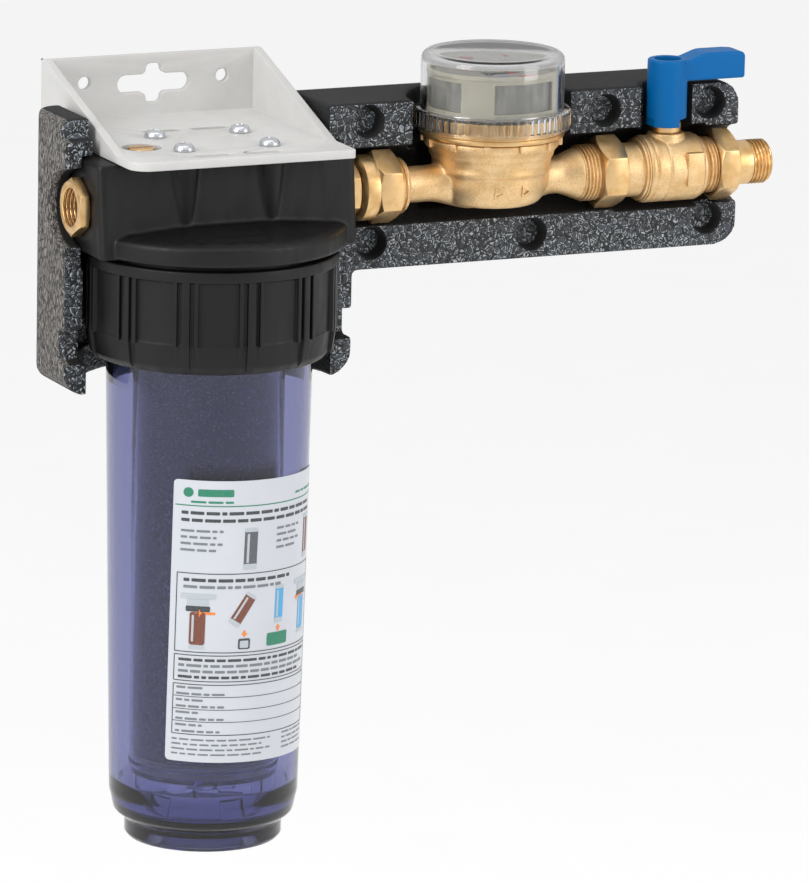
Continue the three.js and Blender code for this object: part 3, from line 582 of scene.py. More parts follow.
def zinc():
    f = Finish("zinc_plate", srgb(206, 209, 214), 0.24, 1.0)
    cloud = f.noise(1.2, 4)
    f.tint(cloud, srgb(190, 194, 200), srgb(222, 224, 228))
    f.roughen(cloud, 0.3, 0.7, 0.16, 0.34)
    f.bump(f.noise(0.3, 2), 0.015, 0.5)
    return f.material


def clear_plastic(name, colour, absorbed, density, roughness=0.03, wave=0.15):
    """Clear moulded plastic, whose tint deepens with its thickness and whose faces are faintly wavy."""
    f = Finish(name, colour, roughness, transmission_weight=1.0, ior=1.5, specular_ior_level=0.34)
    inside = f.node("ShaderNodeVolumeAbsorption")
    inside.inputs["Color"].default_value = absorbed
    inside.inputs["Density"].default_value = density
    f.tree.links.new(inside.outputs["Volume"], f.tree.nodes["Material Output"].inputs["Volume"])
    f.bump(f.noise(9, 2, (1, 1, 0.3)), wave, 0.35)
    f.bump(f.noise(0.9, 2), 0.01, 0.3)
    return f.material


def resin_beads():
    """Dark blue ion exchange beads behind the cartridge's clear wall, each with a small glint from its coat,
    and a few beads painted pale as a painted glint.
    """
    f = Finish("resin_beads", srgb(14, 16, 52), 0.45, coat_weight=0.7, coat_roughness=0.38)
    size = 0.62
    bead = f.cells(size)
    chance, shade = f.cell_colours(size)
    base = f.mix(shade, srgb(8, 12, 50), srgb(30, 40, 106))
    # painted highlight: a few random beads painted pale as glints
    pale = f.level(chance, 0.88, 0.97)
    f.tint(pale, base, srgb(126, 138, 180))
    f.bump(f.level(bead, 0.0, 0.7, 1.0, 0.0), 0.3, 0.9)
    return f.material


def frosted():
    """The register's milky inner sleeve, through which its gears show only as soft shades."""
    f = Finish("frosted_sleeve", srgb(226, 225, 216), 0.5, transmission_weight=0.5, ior=1.45)
    cloud = f.noise(4, 3, (1, 1, 0.3))
    f.tint(f.level(cloud, 0.35, 0.65), srgb(206, 206, 198), srgb(238, 237, 230))
    f.bump(f.noise(0.5, 2), 0.03, 0.5)
    return f.material


def felt():
    f = Finish("felt", srgb(206, 204, 196), 0.95)
    fibre = f.noise(0.25, 5, (1, 1, 3))
    f.tint(fibre, srgb(186, 184, 176), srgb(222, 220, 214))
    f.bump(fibre, 0.2, 0.9)
    return f.material


def plain_moulding(name, colour, other, roughness=0.45, grain=0.4, depth=0.03):
    """A small moulded part in one plastic, with a slight cloud in its colour and a fine texture."""
    f = Finish(name, colour, roughness)
    cloud = f.noise(6, 3)
    fine = f.noise(grain, 3)
    f.tint(cloud, colour, other)
    f.roughen(fine, 0.3, 0.7, roughness - 0.07, roughness + 0.07)
    f.bump(fine, depth, 0.5)
    return f.material


def rubber():
    return plain_moulding("rubber", srgb(18, 18, 18), srgb(30, 30, 30), 0.75, 0.3, 0.05)


def fibre_gasket():
    return plain_moulding("fibre_gasket", srgb(120, 60, 40), srgb(150, 82, 56), 0.8, 0.2, 0.08)


def label_paper():
    f = Finish("label_paper", srgb(232, 236, 240), 0.32, coat_weight=0.3, coat_roughness=0.12)
    fine = f.noise(0.3, 3)
    f.tint(f.noise(20, 2), srgb(192, 196, 203), srgb(202, 205, 211))
    f.bump(fine, 0.012, 0.5)
    f.bump(f.noise(12, 2), 0.2, 0.12)
    return f.material


def ink(name, colour):
    """Printed ink, a little uneven in strength."""
    f = Finish("ink_" + name, colour, 0.4)
    speck = f.noise(0.25, 3)
    paler = tuple(c + (1 - c) * 0.12 for c in colour[:3]) + (1.0,)
    f.tint(f.level(speck, 0.45, 0.75), colour, paler)
    f.bump(speck, 0.005, 0.4)
    return f.material


BEADS = foam_beads()
SKIN = foam_skin()
POCKET = foam_inner()
WHITE = moulded_white()
BLACK = moulded_black()
BRASS = machined_brass()
BRASS_UPRIGHT = machined_brass("machined_brass_upright", (0.06, 0.06, 1))
CAST = cast_brass()
ZINC = zinc()
RUBBER = rubber()
FIBRE = fibre_gasket()
BOWL_CLEAR = clear_plastic("bowl_clear_blue", (0.92, 0.925, 0.98, 1), (0.04, 0.07, 0.46, 1), 175)
CARTRIDGE_CLEAR = clear_plastic("cartridge_clear", (0.95, 0.96, 1, 1), (0.4, 0.43, 0.75, 1), 60, 0.04)
METER_CLEAR = clear_plastic("meter_clear", (0.95, 0.95, 0.95, 1), (0.5, 0.5, 0.52, 1), 70, 0.03, 0.08)
RESIN = resin_beads()
FELT = felt()
FROST = frosted()
PAPER = label_paper()
CREAM = plain_moulding("register_cream", srgb(216, 211, 190), srgb(226, 222, 204), 0.5)
DIAL = plain_moulding("dial_face", srgb(178, 175, 166), srgb(188, 185, 176), 0.45)
DARK = plain_moulding("register_dark", srgb(44, 46, 50), srgb(58, 60, 64), 0.5)
RED = plain_moulding("pointer_red", srgb(190, 34, 30), srgb(206, 48, 40), 0.4)
LINEN = plain_moulding("white_inner_plastic", srgb(232, 232, 226), srgb(240, 240, 236), 0.35)
BLUE = plain_moulding("handle_blue", srgb(0, 90, 152), srgb(0, 98, 162), 0.42, 0.35, 0.05)
BLUE.node_tree.nodes["Principled BSDF"].inputs["Specular IOR Level"].default_value = 0.14
TRAIN = plain_moulding("register_train", srgb(198, 195, 178), srgb(210, 207, 190), 0.5)

# ---------------------------------------------------------------- foam rear shell

SHELF_TOP = 26.2
SHELF_BOTTOM = 22.2
NUT_LIP = 58.6
FOAM_DEPTH = 42
SOCKETS = [(78, 30.4), (198.5, 28.7), (252.5, 29.3), (80.1, -26.3), (161.7, -27.4), (252.4, -25.5)]


def foam_shell():
    left, right = span("epp_rear_shell", "x")
    bottom, top = span("epp_rear_shell", "z")
    depth = FOAM_DEPTH
    block_right = 71.4
    arm_bottom = -38.75
    corner = 13
    channel = 17.9
    block = prism(rect(left, block_right, bottom, top, [corner, corner, 0, 5]), 0, depth, "Y")
    arm = prism(rect(block_right - 10, right, arm_bottom, top, [0, 12, 12, 0]), 0, depth, "Y")
    plan = prism(rect(left, right, -10, depth, [0, 0, corner, corner]), bottom - 1, top + 1)
    nut_back = shared(rod(68.8, bottom, -0.8, segments=96), bar(-70, 70, depth - 8, 70, bottom, 0))
    blank = joined(shared(joined(block, arm), plan), nut_back)
    horn = bar(left - 1, -50, -1, 5.5, 29.9, top + 1)
    left_strap = [(-1, -57), (-1, -73.4), (0, -73.4), (5, -70.5, 0.8), (5, -57, 0.8)]
    right_strap = [(-1, -56.2), (-1, -69.4), (10, -69.4, 0.8), (10, -56.2, 0.8)]
    straps = [prism(left_strap, left - 1, -50, "X"), prism(right_strap, 50, block_right + 1, "X")]
    pockets = [
        bar(-63.6, 63.6, -1, 24.5, -29, SHELF_BOTTOM + 0.8),
        bar(-58, 57.6, -1, depth + 1, 20.6, top + 1),
        rod(62.6, -73.4, -6.8, segments=96),
        rod(NUT_LIP + 1.7, bottom - 1, -72, segments=96),
        rod(17.8, left - 1, -60, "X", (0, 0, -0.7)),
        rod(channel, 60, right + 1, "X", segments=64),
        bar(71, right + 1, -1, 4, -channel, channel),
        rod(34.6, -14, top + 1, "Z", AT_METER, 72),
        rod(39.6, 15, top + 1, "Z", AT_METER, 72),
        rod(19.4, 203, 251, "X"),
        rod(13.1, 10, top + 1, "Z", AT_VALVE),
    ]
    sockets = [rod(7.8, -1, 7.6, "Y", (x, 0, z), 40, 6.2, 1.2) for x, z in SOCKETS]
    return cast(carved(blank, horn, *straps, *pockets, *sockets), 1.1, 4)


def paint_foam(piece):
    """Beads on the front and back faces, drawn-out skin on the outer sides, and pocket walls painted dark as
    painted shade.
    """
    low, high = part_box("epp_rear_shell")
    front = ORIGIN.y + 11 * MM
    back = ORIGIN.y + (FOAM_DEPTH - 3) * MM
    for face in piece.data.polygons:
        spot = face.center
        outer_side = spot.x < low.x + 4 * MM or spot.x > high.x - 4 * MM or spot.z < low.z + 2 * MM
        if spot.y > back or (abs(face.normal.y) > 0.7 and spot.y < front):
            face.material_index = 0
        elif outer_side:
            face.material_index = 1
        else:
            # the remaining faces, the pocket walls, get the painted shade material
            face.material_index = 2


paint_foam(show(foam_shell(), "epp_rear_shell", BEADS, SKIN, POCKET))

# ---------------------------------------------------------------- wall bracket and screws

WALL = span("wall_bracket", "y")[1]
SCREW_PLACES = [(sx * 21, sy * 17) for sx in (-1, 1) for sy in (-1, 1)]
VENT_PLACE = (-36, -3)


def bracket():
    half = 54.3
    wall = 4
    front = -40
    top = span("wall_bracket", "z")[1]
    plate_front = WALL - wall
    plate = prism(rect(-half, half, SHELF_BOTTOM, top, [0, 0, 3, 3]), plate_front, WALL, "Y")
    shelf = prism(rect(-half, half, front, WALL, [9, 2.5, 0, 0]), SHELF_BOTTOM, SHELF_TOP)
    side = [(-17, SHELF_BOTTOM), (WALL, SHELF_BOTTOM), (WALL, top), (plate_front, top), (-17, SHELF_TOP)]
    gussets = [prism(side, -half, wall - half, "X"), prism(side, half - wall, half, "X")]
    cross = [(18, 36.8, 4.2), (18, 45.2, 4.2), (3.9, 45.2, 2.6), (3.9, 50.2, 3.8), (-3.9, 50.2, 3.8),
             (-3.9, 45.2, 2.6), (-18, 45.2, 4.2), (-18, 36.8, 4.2), (-3.9, 36.8, 2.6), (-3.9, 31.8, 3.8),
             (3.9, 31.8, 3.8), (3.9, 36.8, 2.6)]
    holes = [prism(cross, plate_front - 1, WALL + 1, "Y")]
    holes += [rod(3.1, plate_front - 1, WALL + 1, "Y", (sign * 34.3, 0, 42.6)) for sign in (-1, 1)]
    holes += [rod(3, SHELF_BOTTOM - 1, SHELF_TOP + 1, "Z", (x, y, 0)) for x, y in SCREW_PLACES]
    for x, y in [(sx * 12, sy * 31) for sx in (-1, 1) for sy in (-1, 1)]:
        holes.append(prism(rect(x - 9.5, x + 9.5, y - 2.7, y + 2.7, 2.7), SHELF_BOTTOM - 1, SHELF_TOP + 1))
    holes.append(rod(9.2, SHELF_BOTTOM - 1, SHELF_TOP + 1, "Z", (*VENT_PLACE, 0), 64))
    return eased(carved(joined(plate, shelf, *gussets), *holes), 0.45, 40, 3)


show(bracket(), "wall_bracket", WHITE)


def cross_recess(blade, half):
    """Two crossed blades, to be cut from a screw's head."""
    return joined(prism(blade, -half, half, "Y"), prism(blade, -half, half, "X"))


def pan_head(turn):
    """A pan head screw with a cross recess, its seat at height 0."""
    profile = [(0, 0), (4.9, 0, 0.3), (4.9, 1.1, 0.6), (3.9, 2.9, 1.6), (1.5, 3.5), (0, 3.55)]
    head = turned(profile, segments=48)
    shank = rod(2.4, -15, 0.5, segments=24)
    cross = cross_recess([(-2.7, 4.2), (-1.2, 1.3), (1.2, 1.3), (2.7, 4.2)], 0.5)
    return moved(eased(carved(joined(head, shank), cross), 0.12, 40, 2), turn=turn)


for number, (x, y) in enumerate(SCREW_PLACES, 1):
    show(moved(pan_head(23 * number + 10), (x, y, SHELF_TOP + 0.05)), f"bracket_screw_{number}", ZINC)

# ---------------------------------------------------------------- filter head

HEAD_TOP = 21.9


def filter_head():
    """The head's block, deeper towards its foot as drafted mouldings are, on the round cover of the skirt."""
    block = prism(rect(-63.2, 63.2, -18.8, 18.8, 3), -21, HEAD_TOP, "Z", 1.0)
    for vertex in block.data.vertices:
        vertex.co.y *= 1 + 0.0058 * (HEAD_TOP - vertex.co.z)
    cover = [(0, -20.3), (61.3, -20.3, 1), (61.3, -11.8, 1.8), (57, -10.2, 6), (30, -8, 20), (0, -7.5)]
    disc = turned(cover, segments=128)
    ports = [rod(16.8, -63.9, -50, "X", edge=0.6), rod(16.8, 50, 63.9, "X", edge=0.6)]
    bosses = [rod(4.2, -9.5, HEAD_TOP, "Z", (x, 1.06 * y, 0), 32, 6.3) for x, y in SCREW_PLACES]
    body = cast(joined(block, disc, *ports, *bosses), 0.8, 3)
    hollow = rod(53.05, -22, -16.3, segments=128)
    bores = [
        rod(11.2, -67, -48, "X"),
        rod(8, -49, -40, "X"),
        rod(6.5, -23, 2, "Z", (-38, 0, 0)),
        rod(11.2, 48, 67, "X"),
        rod(8, -2, 49, "X"),
        rod(8, -22, 2),
        rod(4.4, 6, HEAD_TOP + 1, "Z", (*VENT_PLACE, 0)),
    ]
    bores += [rod(2.6, HEAD_TOP - 17, HEAD_TOP + 1, "Z", (x, y, 0), 24) for x, y in SCREW_PLACES]
    return carved(body, hollow, *bores)


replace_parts(show(filter_head(), "filter_head", BLACK), "head_rim")
show(ring(53, 48.6, -44, -16.35, edge=0.6), "head_skirt", BLACK)
show(ring(13, 9, -54, -16.35, segments=64, edge=0.5), "head_spigot", BLACK)


def vent_screw():
    seat = HEAD_TOP + 1.15
    cap = prism(cogged(6, [(0, 6.6)], 0.5), seat, seat + 3, "Z", 0.4)
    shank = rod(4.2, 8, seat + 0.5)
    slot = bar(-8, 8, -0.7, 0.7, seat + 1.8, seat + 4)
    return moved(carved(joined(cap, shank), slot), (*VENT_PLACE, 0))


show(vent_screw(), "vent_screw", BRASS_UPRIGHT)


def inlet_insert():
    hexa = hexagon(24, -69.5, -64.2, 0.9)
    barrel = rod(11, -65, -49, "X")
    bore = thread(9.9, -70.5, -53.5)
    neck = rod(7.4, -54, -48, "X")
    return eased(carved(joined(hexa, barrel), bore, neck), 0.2, 50, 2)


show(inlet_insert(), "inlet_insert", BRASS)

# ---------------------------------------------------------------- ring nut, bowl and label

RIB_COUNT = 12
RIB_PHASE = -94


def ring_nut():
    top, lip_bottom, panel_bottom, bottom = -22.8, -27.8, -57.4, -71.2
    bore = 54.2
    throat = 48.7
    panel = 56.9
    profile = [
        (bore, top, 0.5), (bore, -50.2), (throat, -50.2), (throat, bottom, 0.6), (52.6, bottom, 1.6),
        (55.4, bottom + 3.4, 2.5), (panel - 0.3, panel_bottom, 0.5), (panel - 0.5, panel_bottom + 0.9, 0.4),
        (panel - 0.3, lip_bottom - 0.9, 0.8), (NUT_LIP, lip_bottom, 0.5), (NUT_LIP, top, 0.8),
    ]
    body = turned(profile, segments=144)
    ribs = []
    middle = (0.3, 1.85, 0.5, bottom + 0.4, 0.4)
    flank = (0.5, 0.95, 0.4, panel_bottom - 0.4, 0.3)
    for offset, (gap, half, nose, foot, edge) in ((0, middle), (-4.9, flank), (4.9, flank)):
        outline = rect(54.4, NUT_LIP - gap, offset - half, offset + half, [0, nose, nose, 0])
        ribs += around(RIB_COUNT, lambda: prism(outline, foot, lip_bottom + 0.5, "Z", edge), RIB_PHASE)
    outside = NUT_LIP - 0.3
    envelope = turned([(0, bottom), (53.4, bottom, 1.2), (57, bottom + 4, 3), (outside, panel_bottom, 5),
                       (outside, lip_bottom + 0.4), (0, lip_bottom + 0.4)], segments=144)
    return eased(joined(body, shared(joined(*ribs), envelope)), 0.25, 40, 2)


show(ring_nut(), "ring_nut", BLACK)

BOWL_WALL = 3.7


def bowl_radius(height):
    """The bowl's slight taper."""
    return 46.96 + (height + 94) * 0.0182


def bowl():
    neck = 48.1
    inner_top = bowl_radius(-50) - BOWL_WALL
    corners = [
        (0, -293.6), (27.5, -293.6, 1.5), (31, -298.9, 1), (35, -299, 1.4), (36.4, -297, 0.8),
        (36.4, -290.5, 0.8), (41.6, -286.2, 3.5),
        (bowl_radius(-276), -276.5, 2.2), (bowl_radius(-50), -50, 0.6), (53, -50, 0.5),
        (53, -45.3, 0.5), (neck, -45.3), (neck, -28, 0.6), (inner_top, -28, 0.6), (inner_top, -50),
        (bowl_radius(-270) - BOWL_WALL, -271, 4), (34, -284.5, 5), (0, -286),
    ]
    return turned(corners, segments=144)


show(bowl(), "bowl", BOWL_CLEAR, crease=50)

LABEL_WIDTH = 85
LABEL_HEIGHT = 132.5
LABEL_MIDDLE = -188.2
LABEL_TURN = math.radians(9.5)
LABEL_TILT = math.radians(-1.6)
LABEL_LIFT = 0.1
LABEL_THICKNESS = 0.25


def on_bowl(x, y, lift):
    """The place on the bowl of a label point, x from its left edge and y down from its top edge."""
    across = x - LABEL_WIDTH / 2
    above = LABEL_HEIGHT / 2 - y
    arc = across * math.cos(LABEL_TILT) - above * math.sin(LABEL_TILT)
    height = LABEL_MIDDLE + across * math.sin(LABEL_TILT) + above * math.cos(LABEL_TILT)
    radius = bowl_radius(height) + lift
    angle = LABEL_TURN - math.pi / 2 + arc / bowl_radius(LABEL_MIDDLE)
    return (radius * math.cos(angle), radius * math.sin(angle), height)


def slices(outline):
    """A convex outline in label millimetres as upright slices (x, highest y, lowest y), at most 2 apart."""
    xs = [point[0] for point in outline]
    low, high = min(xs), max(xs)
    count = math.ceil((high - low) / 2)
    stops = sorted(set(xs) | {low + (high - low) * n / count for n in range(count)})
    cut = []
    for x in stops:
        ys = []
        for (x0, y0), (x1, y1) in zip(outline, outline[1:] + outline[:1]):
            if min(x0, x1) <= x <= max(x0, x1):
                ys += [y0, y1] if x0 == x1 else [y0 + (y1 - y0) * (x - x0) / (x1 - x0)]
        cut.append((x, min(ys), max(ys)))
    return cut


def laid(outlines, lift, thickness):
    """Thin closed pieces of the given convex outlines, laid on the bowl."""
    verts = []
    faces = []
    for outline in outlines:
        rings = []
        for x, top, bottom in slices(outline):
            rings.append(list(range(len(verts), len(verts) + 4)))
            bottom = max(bottom, top + 0.001)
            verts += [on_bowl(x, top, lift), on_bowl(x, bottom, lift),
                      on_bowl(x, bottom, lift + thickness), on_bowl(x, top, lift + thickness)]
        faces += stitched(rings, False) + [rings[0], rings[-1]]
    return solid(verts, faces)


def card(x0, x1, y0, y1, radius=0.0):
    """A rectangle's outline with rounded corners."""
    return [tuple(point) for point in softened(rect(x0, x1, y0, y1, radius))]


show(laid([card(0, LABEL_WIDTH, 0, LABEL_HEIGHT, 2)], LABEL_LIFT, LABEL_THICKNESS), "bowl_label", PAPER)

printed = {}


def stamp(ink_name, *outlines):
    printed.setdefault(ink_name, []).extend(outlines)


def rule(x0, x1, y, width=0.3, ink_name="line"):
    stamp(ink_name, card(x0, x1, y - width / 2, y + width / 2))


def panel(x0, x1, y0, y1):
    """A ruled box."""
    line = 0.4
    for y in (y0, y1):
        rule(x0, x1, y, line)
    for x in (x0, x1):
        stamp("line", card(x - line / 2, x + line / 2, y0, y1))


def words(x0, x1, y, height=1.1, ink_name="grey", seed=1):
    """A line of plain dashes where a line of small print would be."""
    x = x0
    state = seed
    while x < x1 - 1:
        state = (state * 37 + 11) % 101
        length = min(2.0 + 5.0 * state / 100, x1 - x)
        stamp(ink_name, card(x, x + length, y - height / 2, y + height / 2, 0.3))
        x += length + 1.0


def paragraph(x0, x1, y, rows, pitch, height, seed, swing=0):
    """Rows of grey dashes, with every other row longer by swing."""
    for row in range(rows):
        words(x0, x1 + swing * (row % 2), y + pitch * row, height, "grey", seed + row)


def cartridge_sign(x, y, width, height, ink_name, tilt=0.0):
    """A small cartridge: its filled tube, two pale end caps and a streak of shine."""
    middle = Vector((x + width / 2, y + height / 2))
    turn = Matrix.Rotation(math.radians(tilt), 2)
    tube = (ink_name, 0, 1, 0, 1, 0.5)
    caps = [("silver", 0, 1, -0.06, 0.05, 0.5), ("silver", 0, 1, 0.93, 1.08, 0.5)]
    shine = ("silver", 0.2, 0.38, 0.1, 0.9, 0.2)
    for name, left, right, top, foot, radius in (tube, *caps, shine):
        flat = card(x + left * width, x + right * width, y + top * height, y + foot * height, radius)
        stamp(name, [tuple(middle + turn @ (Vector(point) - middle)) for point in flat])


def filter_sign(x, y, ink_name):
    """A small filter: head, ring nut and a filled bowl."""
    stamp("silver", card(x - 2, x + 14, y, y + 2.4, 0.5), card(x + 1, x + 11, y + 2.6, y + 5.4, 0.6))
    stamp("line", card(x + 0.5, x + 11.5, y + 5.8, y + 8.4, 0.6))
    stamp(ink_name, card(x + 2.4, x + 9.6, y + 8.6, y + 24, 1.2))
    stamp("silver", card(x + 3.4, x + 4.4, y + 10, y + 22.5, 0.3))
    stamp("silver", card(x + 2.4, x + 9.6, y + 24.2, y + 26, 0.6))


def arrow(x, y, size, down=True):
    sign = 1 if down else -1
    stamp("orange", [(x - 0.25 * size, y - 0.5 * sign * size), (x + 0.25 * size, y - 0.5 * sign * size),
                     (x + 0.25 * size, y), (x - 0.25 * size, y)],
          [(x - 0.6 * size, y), (x + 0.6 * size, y), (x, y + 0.7 * sign * size)])


def print_label():
    left, right = 3, 82
    stamp("green", card(4.5, 9, 3.4, 7.9, 2.2), card(11, 27, 4, 7.4, 0.6))
    words(8, 27, 10, 1.0, "green", 5)
    words(62, right, 8.6, 1.0, "green", 9)
    rule(1, LABEL_WIDTH - 1, 11.8, 0.5, "green")
    words(left + 1, right - 4, 15.2, 1.5, "line", 3)
    words(left + 1, right - 2, 18.6, 1.5, "line", 17)
    paragraph(left + 1, 23, 23.6, 4, 3, 1.1, 21, -3)
    paragraph(50, 66, 23.6, 4, 3, 1.1, 31, -2)
    cartridge_sign(33, 23.2, 6.4, 17, "slate")
    cartridge_sign(72.5, 21.8, 6, 18, "brown")
    panel(left, right, 43.5, 80.5)
    words(left + 3, 60, 46.6, 1.5, "line", 41)
    words(left + 3, 54, 49.8, 1.3, "grey", 43)
    filter_sign(7, 53, "brown")
    filter_sign(67, 50, "sky")
    cartridge_sign(31, 53, 5.6, 14.5, "brown", 32)
    cartridge_sign(51, 51.5, 5.2, 15.5, "sky")
    arrow(35, 71.6, 2.6)
    arrow(53.6, 70.8, 2.6, False)
    stamp("line", card(32.2, 38, 74, 79, 0.8))
    stamp("silver", card(33, 37.2, 75, 78.4, 0.6))
    stamp("green", card(47, 60, 72.6, 78.6, 1))
    for x, y in ((14, 61.5), (68, 58)):
        stamp("orange", card(x, x + 7, y, y + 1.2, 0.5))
        stamp("orange", [(x, y - 1.2), (x, y + 2.4), (x - 2, y + 0.6)])
    panel(left, right, 82, 94.2)
    for row, ink_name in enumerate(("line", "grey", "grey", "line")):
        words(left + 2, right - 3 - 6 * (row % 2), 84.2 + 2.7 * row, 1.25, ink_name, 51 + row)
    panel(left, right, 95.8, 119.5)
    for y in (101.6, 107.6, 113.4):
        rule(left, right, y, 0.3)
    paragraph(left + 1.5, 17, 97.4, 8, 2.95, 1.0, 61, 10)
    paragraph(left, 52, 122, 4, 2.3, 0.8, 71, -5)
    paragraph(60, right - 1, 121.2, 4, 2.3, 0.8, 81)


print_label()
INKS = {
    "line": srgb(52, 56, 60),
    "grey": srgb(112, 118, 122),
    "green": srgb(20, 122, 92),
    "silver": srgb(176, 184, 190),
    "slate": srgb(84, 86, 92),
    "brown": srgb(112, 58, 40),
    "sky": srgb(72, 160, 208),
    "orange": srgb(234, 128, 40),
}
for ink_name, outlines in printed.items():
    flat = laid(outlines, LABEL_LIFT + LABEL_THICKNESS + 0.01, 0.07 if ink_name == "silver" else 0.05)
    detail(flat, "label_print_" + ink_name, "bowl_label", ink(ink_name, INKS[ink_name]))

# ---------------------------------------------------------------- resin cartridge

TUBE = 34.5
TUBE_WALL = 1.8
TUBE_TOP = -62
TUBE_BOTTOM = -262

show(ring(TUBE, TUBE - TUBE_WALL, TUBE_BOTTOM, TUBE_TOP, edge=0.3), "cartridge_tube", CARTRIDGE_CLEAR)


def top_cap():
    rim = TUBE_TOP + 0.3
    inner = TUBE - TUBE_WALL - 0.3
    outer = TUBE + 0.7
    cap = turned([(14.6, rim - 5), (inner, rim - 5, 0.5), (inner, rim), (outer, rim, 0.3), (outer, -57, 0.8),
                  (TUBE - 0.3, -56, 0.5), (17.6, -56, 0.8), (17.6, -52, 0.6), (14.6, -52, 0.5)])
    webs = around(12, lambda: bar(17, TUBE - 1, -0.8, 0.8, -56.4, -54.6, 0.3))
    return joined(cap, *webs)


show(top_cap(), "cartridge_top_cap", CARTRIDGE_CLEAR)


def bottom_cap():
    """A cup with a funnel of webs, whose skirt is cut into castle teeth."""
    rim = TUBE_BOTTOM - 0.3
    floor = TUBE_BOTTOM - 5.6
    bottom = -283.4
    inner = TUBE - TUBE_WALL - 0.3
    cup = turned([(0, floor), (TUBE - 3, floor, 1), (TUBE - 3, bottom, 0.4), (TUBE - 0.6, bottom, 0.5),
                  (TUBE - 0.6, rim - 3, 0.4), (TUBE + 0.4, rim - 2, 0.4), (TUBE + 0.4, rim, 0.3),
                  (inner, rim), (inner, rim + 1.6, 0.3), (inner - 1.7, rim + 1.6, 0.3),
                  (inner - 1.7, floor + 2), (0, floor + 2)])
    slots = around(6, lambda: prism(rect(TUBE - 6, TUBE + 2, -5.5, 5.5, 1), bottom - 1, bottom + 6.5), 30)
    drains = around(8, lambda: rod(2.4, floor - 1, floor + 3, "Z", (16, 0, 0), 24))
    web = [(6, floor + 0.5), (6, floor - 6), (10, floor - 9, 2), (TUBE - 3.4, bottom + 8),
           (TUBE - 2, bottom + 8), (TUBE - 2, floor + 0.5)]
    webs = [moved(prism(web[::-1], -0.7, 0.7, "Y"), turn=60 * n) for n in range(6)]
    hub = ring(7, 4.6, floor - 8, floor + 0.5, segments=48, edge=0.4)
    return carved(joined(cup, hub, *webs), *slots, *drains)


show(bottom_cap(), "cartridge_bottom_cap", CARTRIDGE_CLEAR)

FILL = TUBE - TUBE_WALL - 0.2
show(rod(FILL, -258.8, -71, segments=96, edge=0.6), "cartridge_resin", RESIN)
show(rod(FILL, -70.9, -68, segments=96, edge=0.8), "cartridge_pad_top", FELT)
show(rod(TUBE - TUBE_WALL - 2.3, -265.3, -258.9, segments=96, edge=0.8), "cartridge_pad_bottom", FELT)

# ---------------------------------------------------------------- unions

NUT_FLATS = 30
LARGE_THREAD = 13.22
SMALL_THREAD = 10.48
INLET_NUT = (70, 78, 90)
MID_NUT = (191.8, 204.6)
OUTLET_NUT = (252.1, 262.6)
METER_IN = 77.5
METER_OUT = 198.4
VALVE_OUT = 256.2
TAIL_END = span("outlet_tail", "x")[1]


def inlet_tail():
    barrel = rod(11, 49, 65, "X")
    hexa = hexagon(24, 64.2, 69.7, 1)
    collar = [(0, 69), (8.6, 69), (8.6, 71.6, 0.6), (12, 72.5, 0.2), (12, 74.5, 0.2), (0, 74.5)]
    tube = turned(collar, "X", segments=64)
    return carved(joined(hexa, barrel, tube), rod(6.5, 48, 75.5, "X"))


show(inlet_tail(), "inlet_union_tail", BRASS)


def inlet_nut():
    start, hex_start, end = INLET_NUT
    collar = turned([(0, start), (13.4, start, 0.8), (15.2, start + 1.8, 0.6), (15.2, hex_start - 1.2, 0.4),
                     (14.6, hex_start + 1), (0, hex_start + 1)], "X")
    hexa = hexagon(NUT_FLATS, hex_start, end, 1.7)
    hole = rod(9, start - 1, end, "X")
    pocket = rod(LARGE_THREAD + 0.5, start + 2.2, end + 1, "X", segments=64)
    return eased(carved(joined(collar, hexa), hole, pocket), 0.22, 25, 2)


show(inlet_nut(), "inlet_union_nut", BRASS)


def union_nut(start, end):
    hexa = hexagon(NUT_FLATS, start, end, 1.8)
    passage = rod(10.9, start - 1, end + 1, "X", segments=64)
    pocket = rod(LARGE_THREAD + 0.5, start - 1, end - 2.4, "X", segments=64)
    return eased(carved(hexa, passage, pocket), 0.22, 25, 2)


show(union_nut(*MID_NUT), "mid_union_nut", BRASS)
show(union_nut(*OUTLET_NUT), "outlet_union_nut", BRASS)


def outlet_tail():
    flange = rod(12.9, VALVE_OUT + 1.7, OUTLET_NUT[1] - 2.7, "X", edge=0.3)
    neck = rod(SMALL_THREAD - 0.1, OUTLET_NUT[1] - 3, 271.6, "X", segments=64, edge=0.4)
    screw = thread(SMALL_THREAD, 270.6, TAIL_END)
    nose = ring(9.6, 7, TAIL_END - 1, TAIL_END, "X", edge=0.3, segments=64)
    return carved(joined(flange, neck, screw, nose), rod(7.8, VALVE_OUT, TAIL_END + 1, "X", segments=64))


show(outlet_tail(), "outlet_tail", BRASS)

# ---------------------------------------------------------------- water meter

VESSEL = [
    (0, -10.4), (23, -10.4, 8), (26.3, -1.5, 8), (26.4, 4.4, 0.6), (27.8, 5.4, 0.8), (27.4, 8.6, 1.5),
    (28, 11.8, 0.5), (29, 12.6, 0.6), (28.9, 14.4, 1.5), (31.6, 17.6, 1.5), (31.6, 20.9, 0.3), (29.1, 20.9),
    (29.1, 16.5), (0, 16.5),
]


def arrow_mark(x, z):
    """A raised triangle pointing along the flow on the vessel's front."""
    outer = [(x - 2.4, z - 2.9, 0.3), (x + 2.8, z, 0.3), (x - 2.4, z + 2.9, 0.3)]
    inner = [(x - 1.6, z - 1.6), (x + 1.3, z), (x - 1.6, z + 1.6)]
    frame_shape = carved(prism(outer, -40, -5, "Y"), prism(inner, -41, -4, "Y"))
    proud = turned([(r + 0.55 if r else 0, h) for r, h, *_ in VESSEL], at=AT_METER)
    return shared(frame_shape, proud)


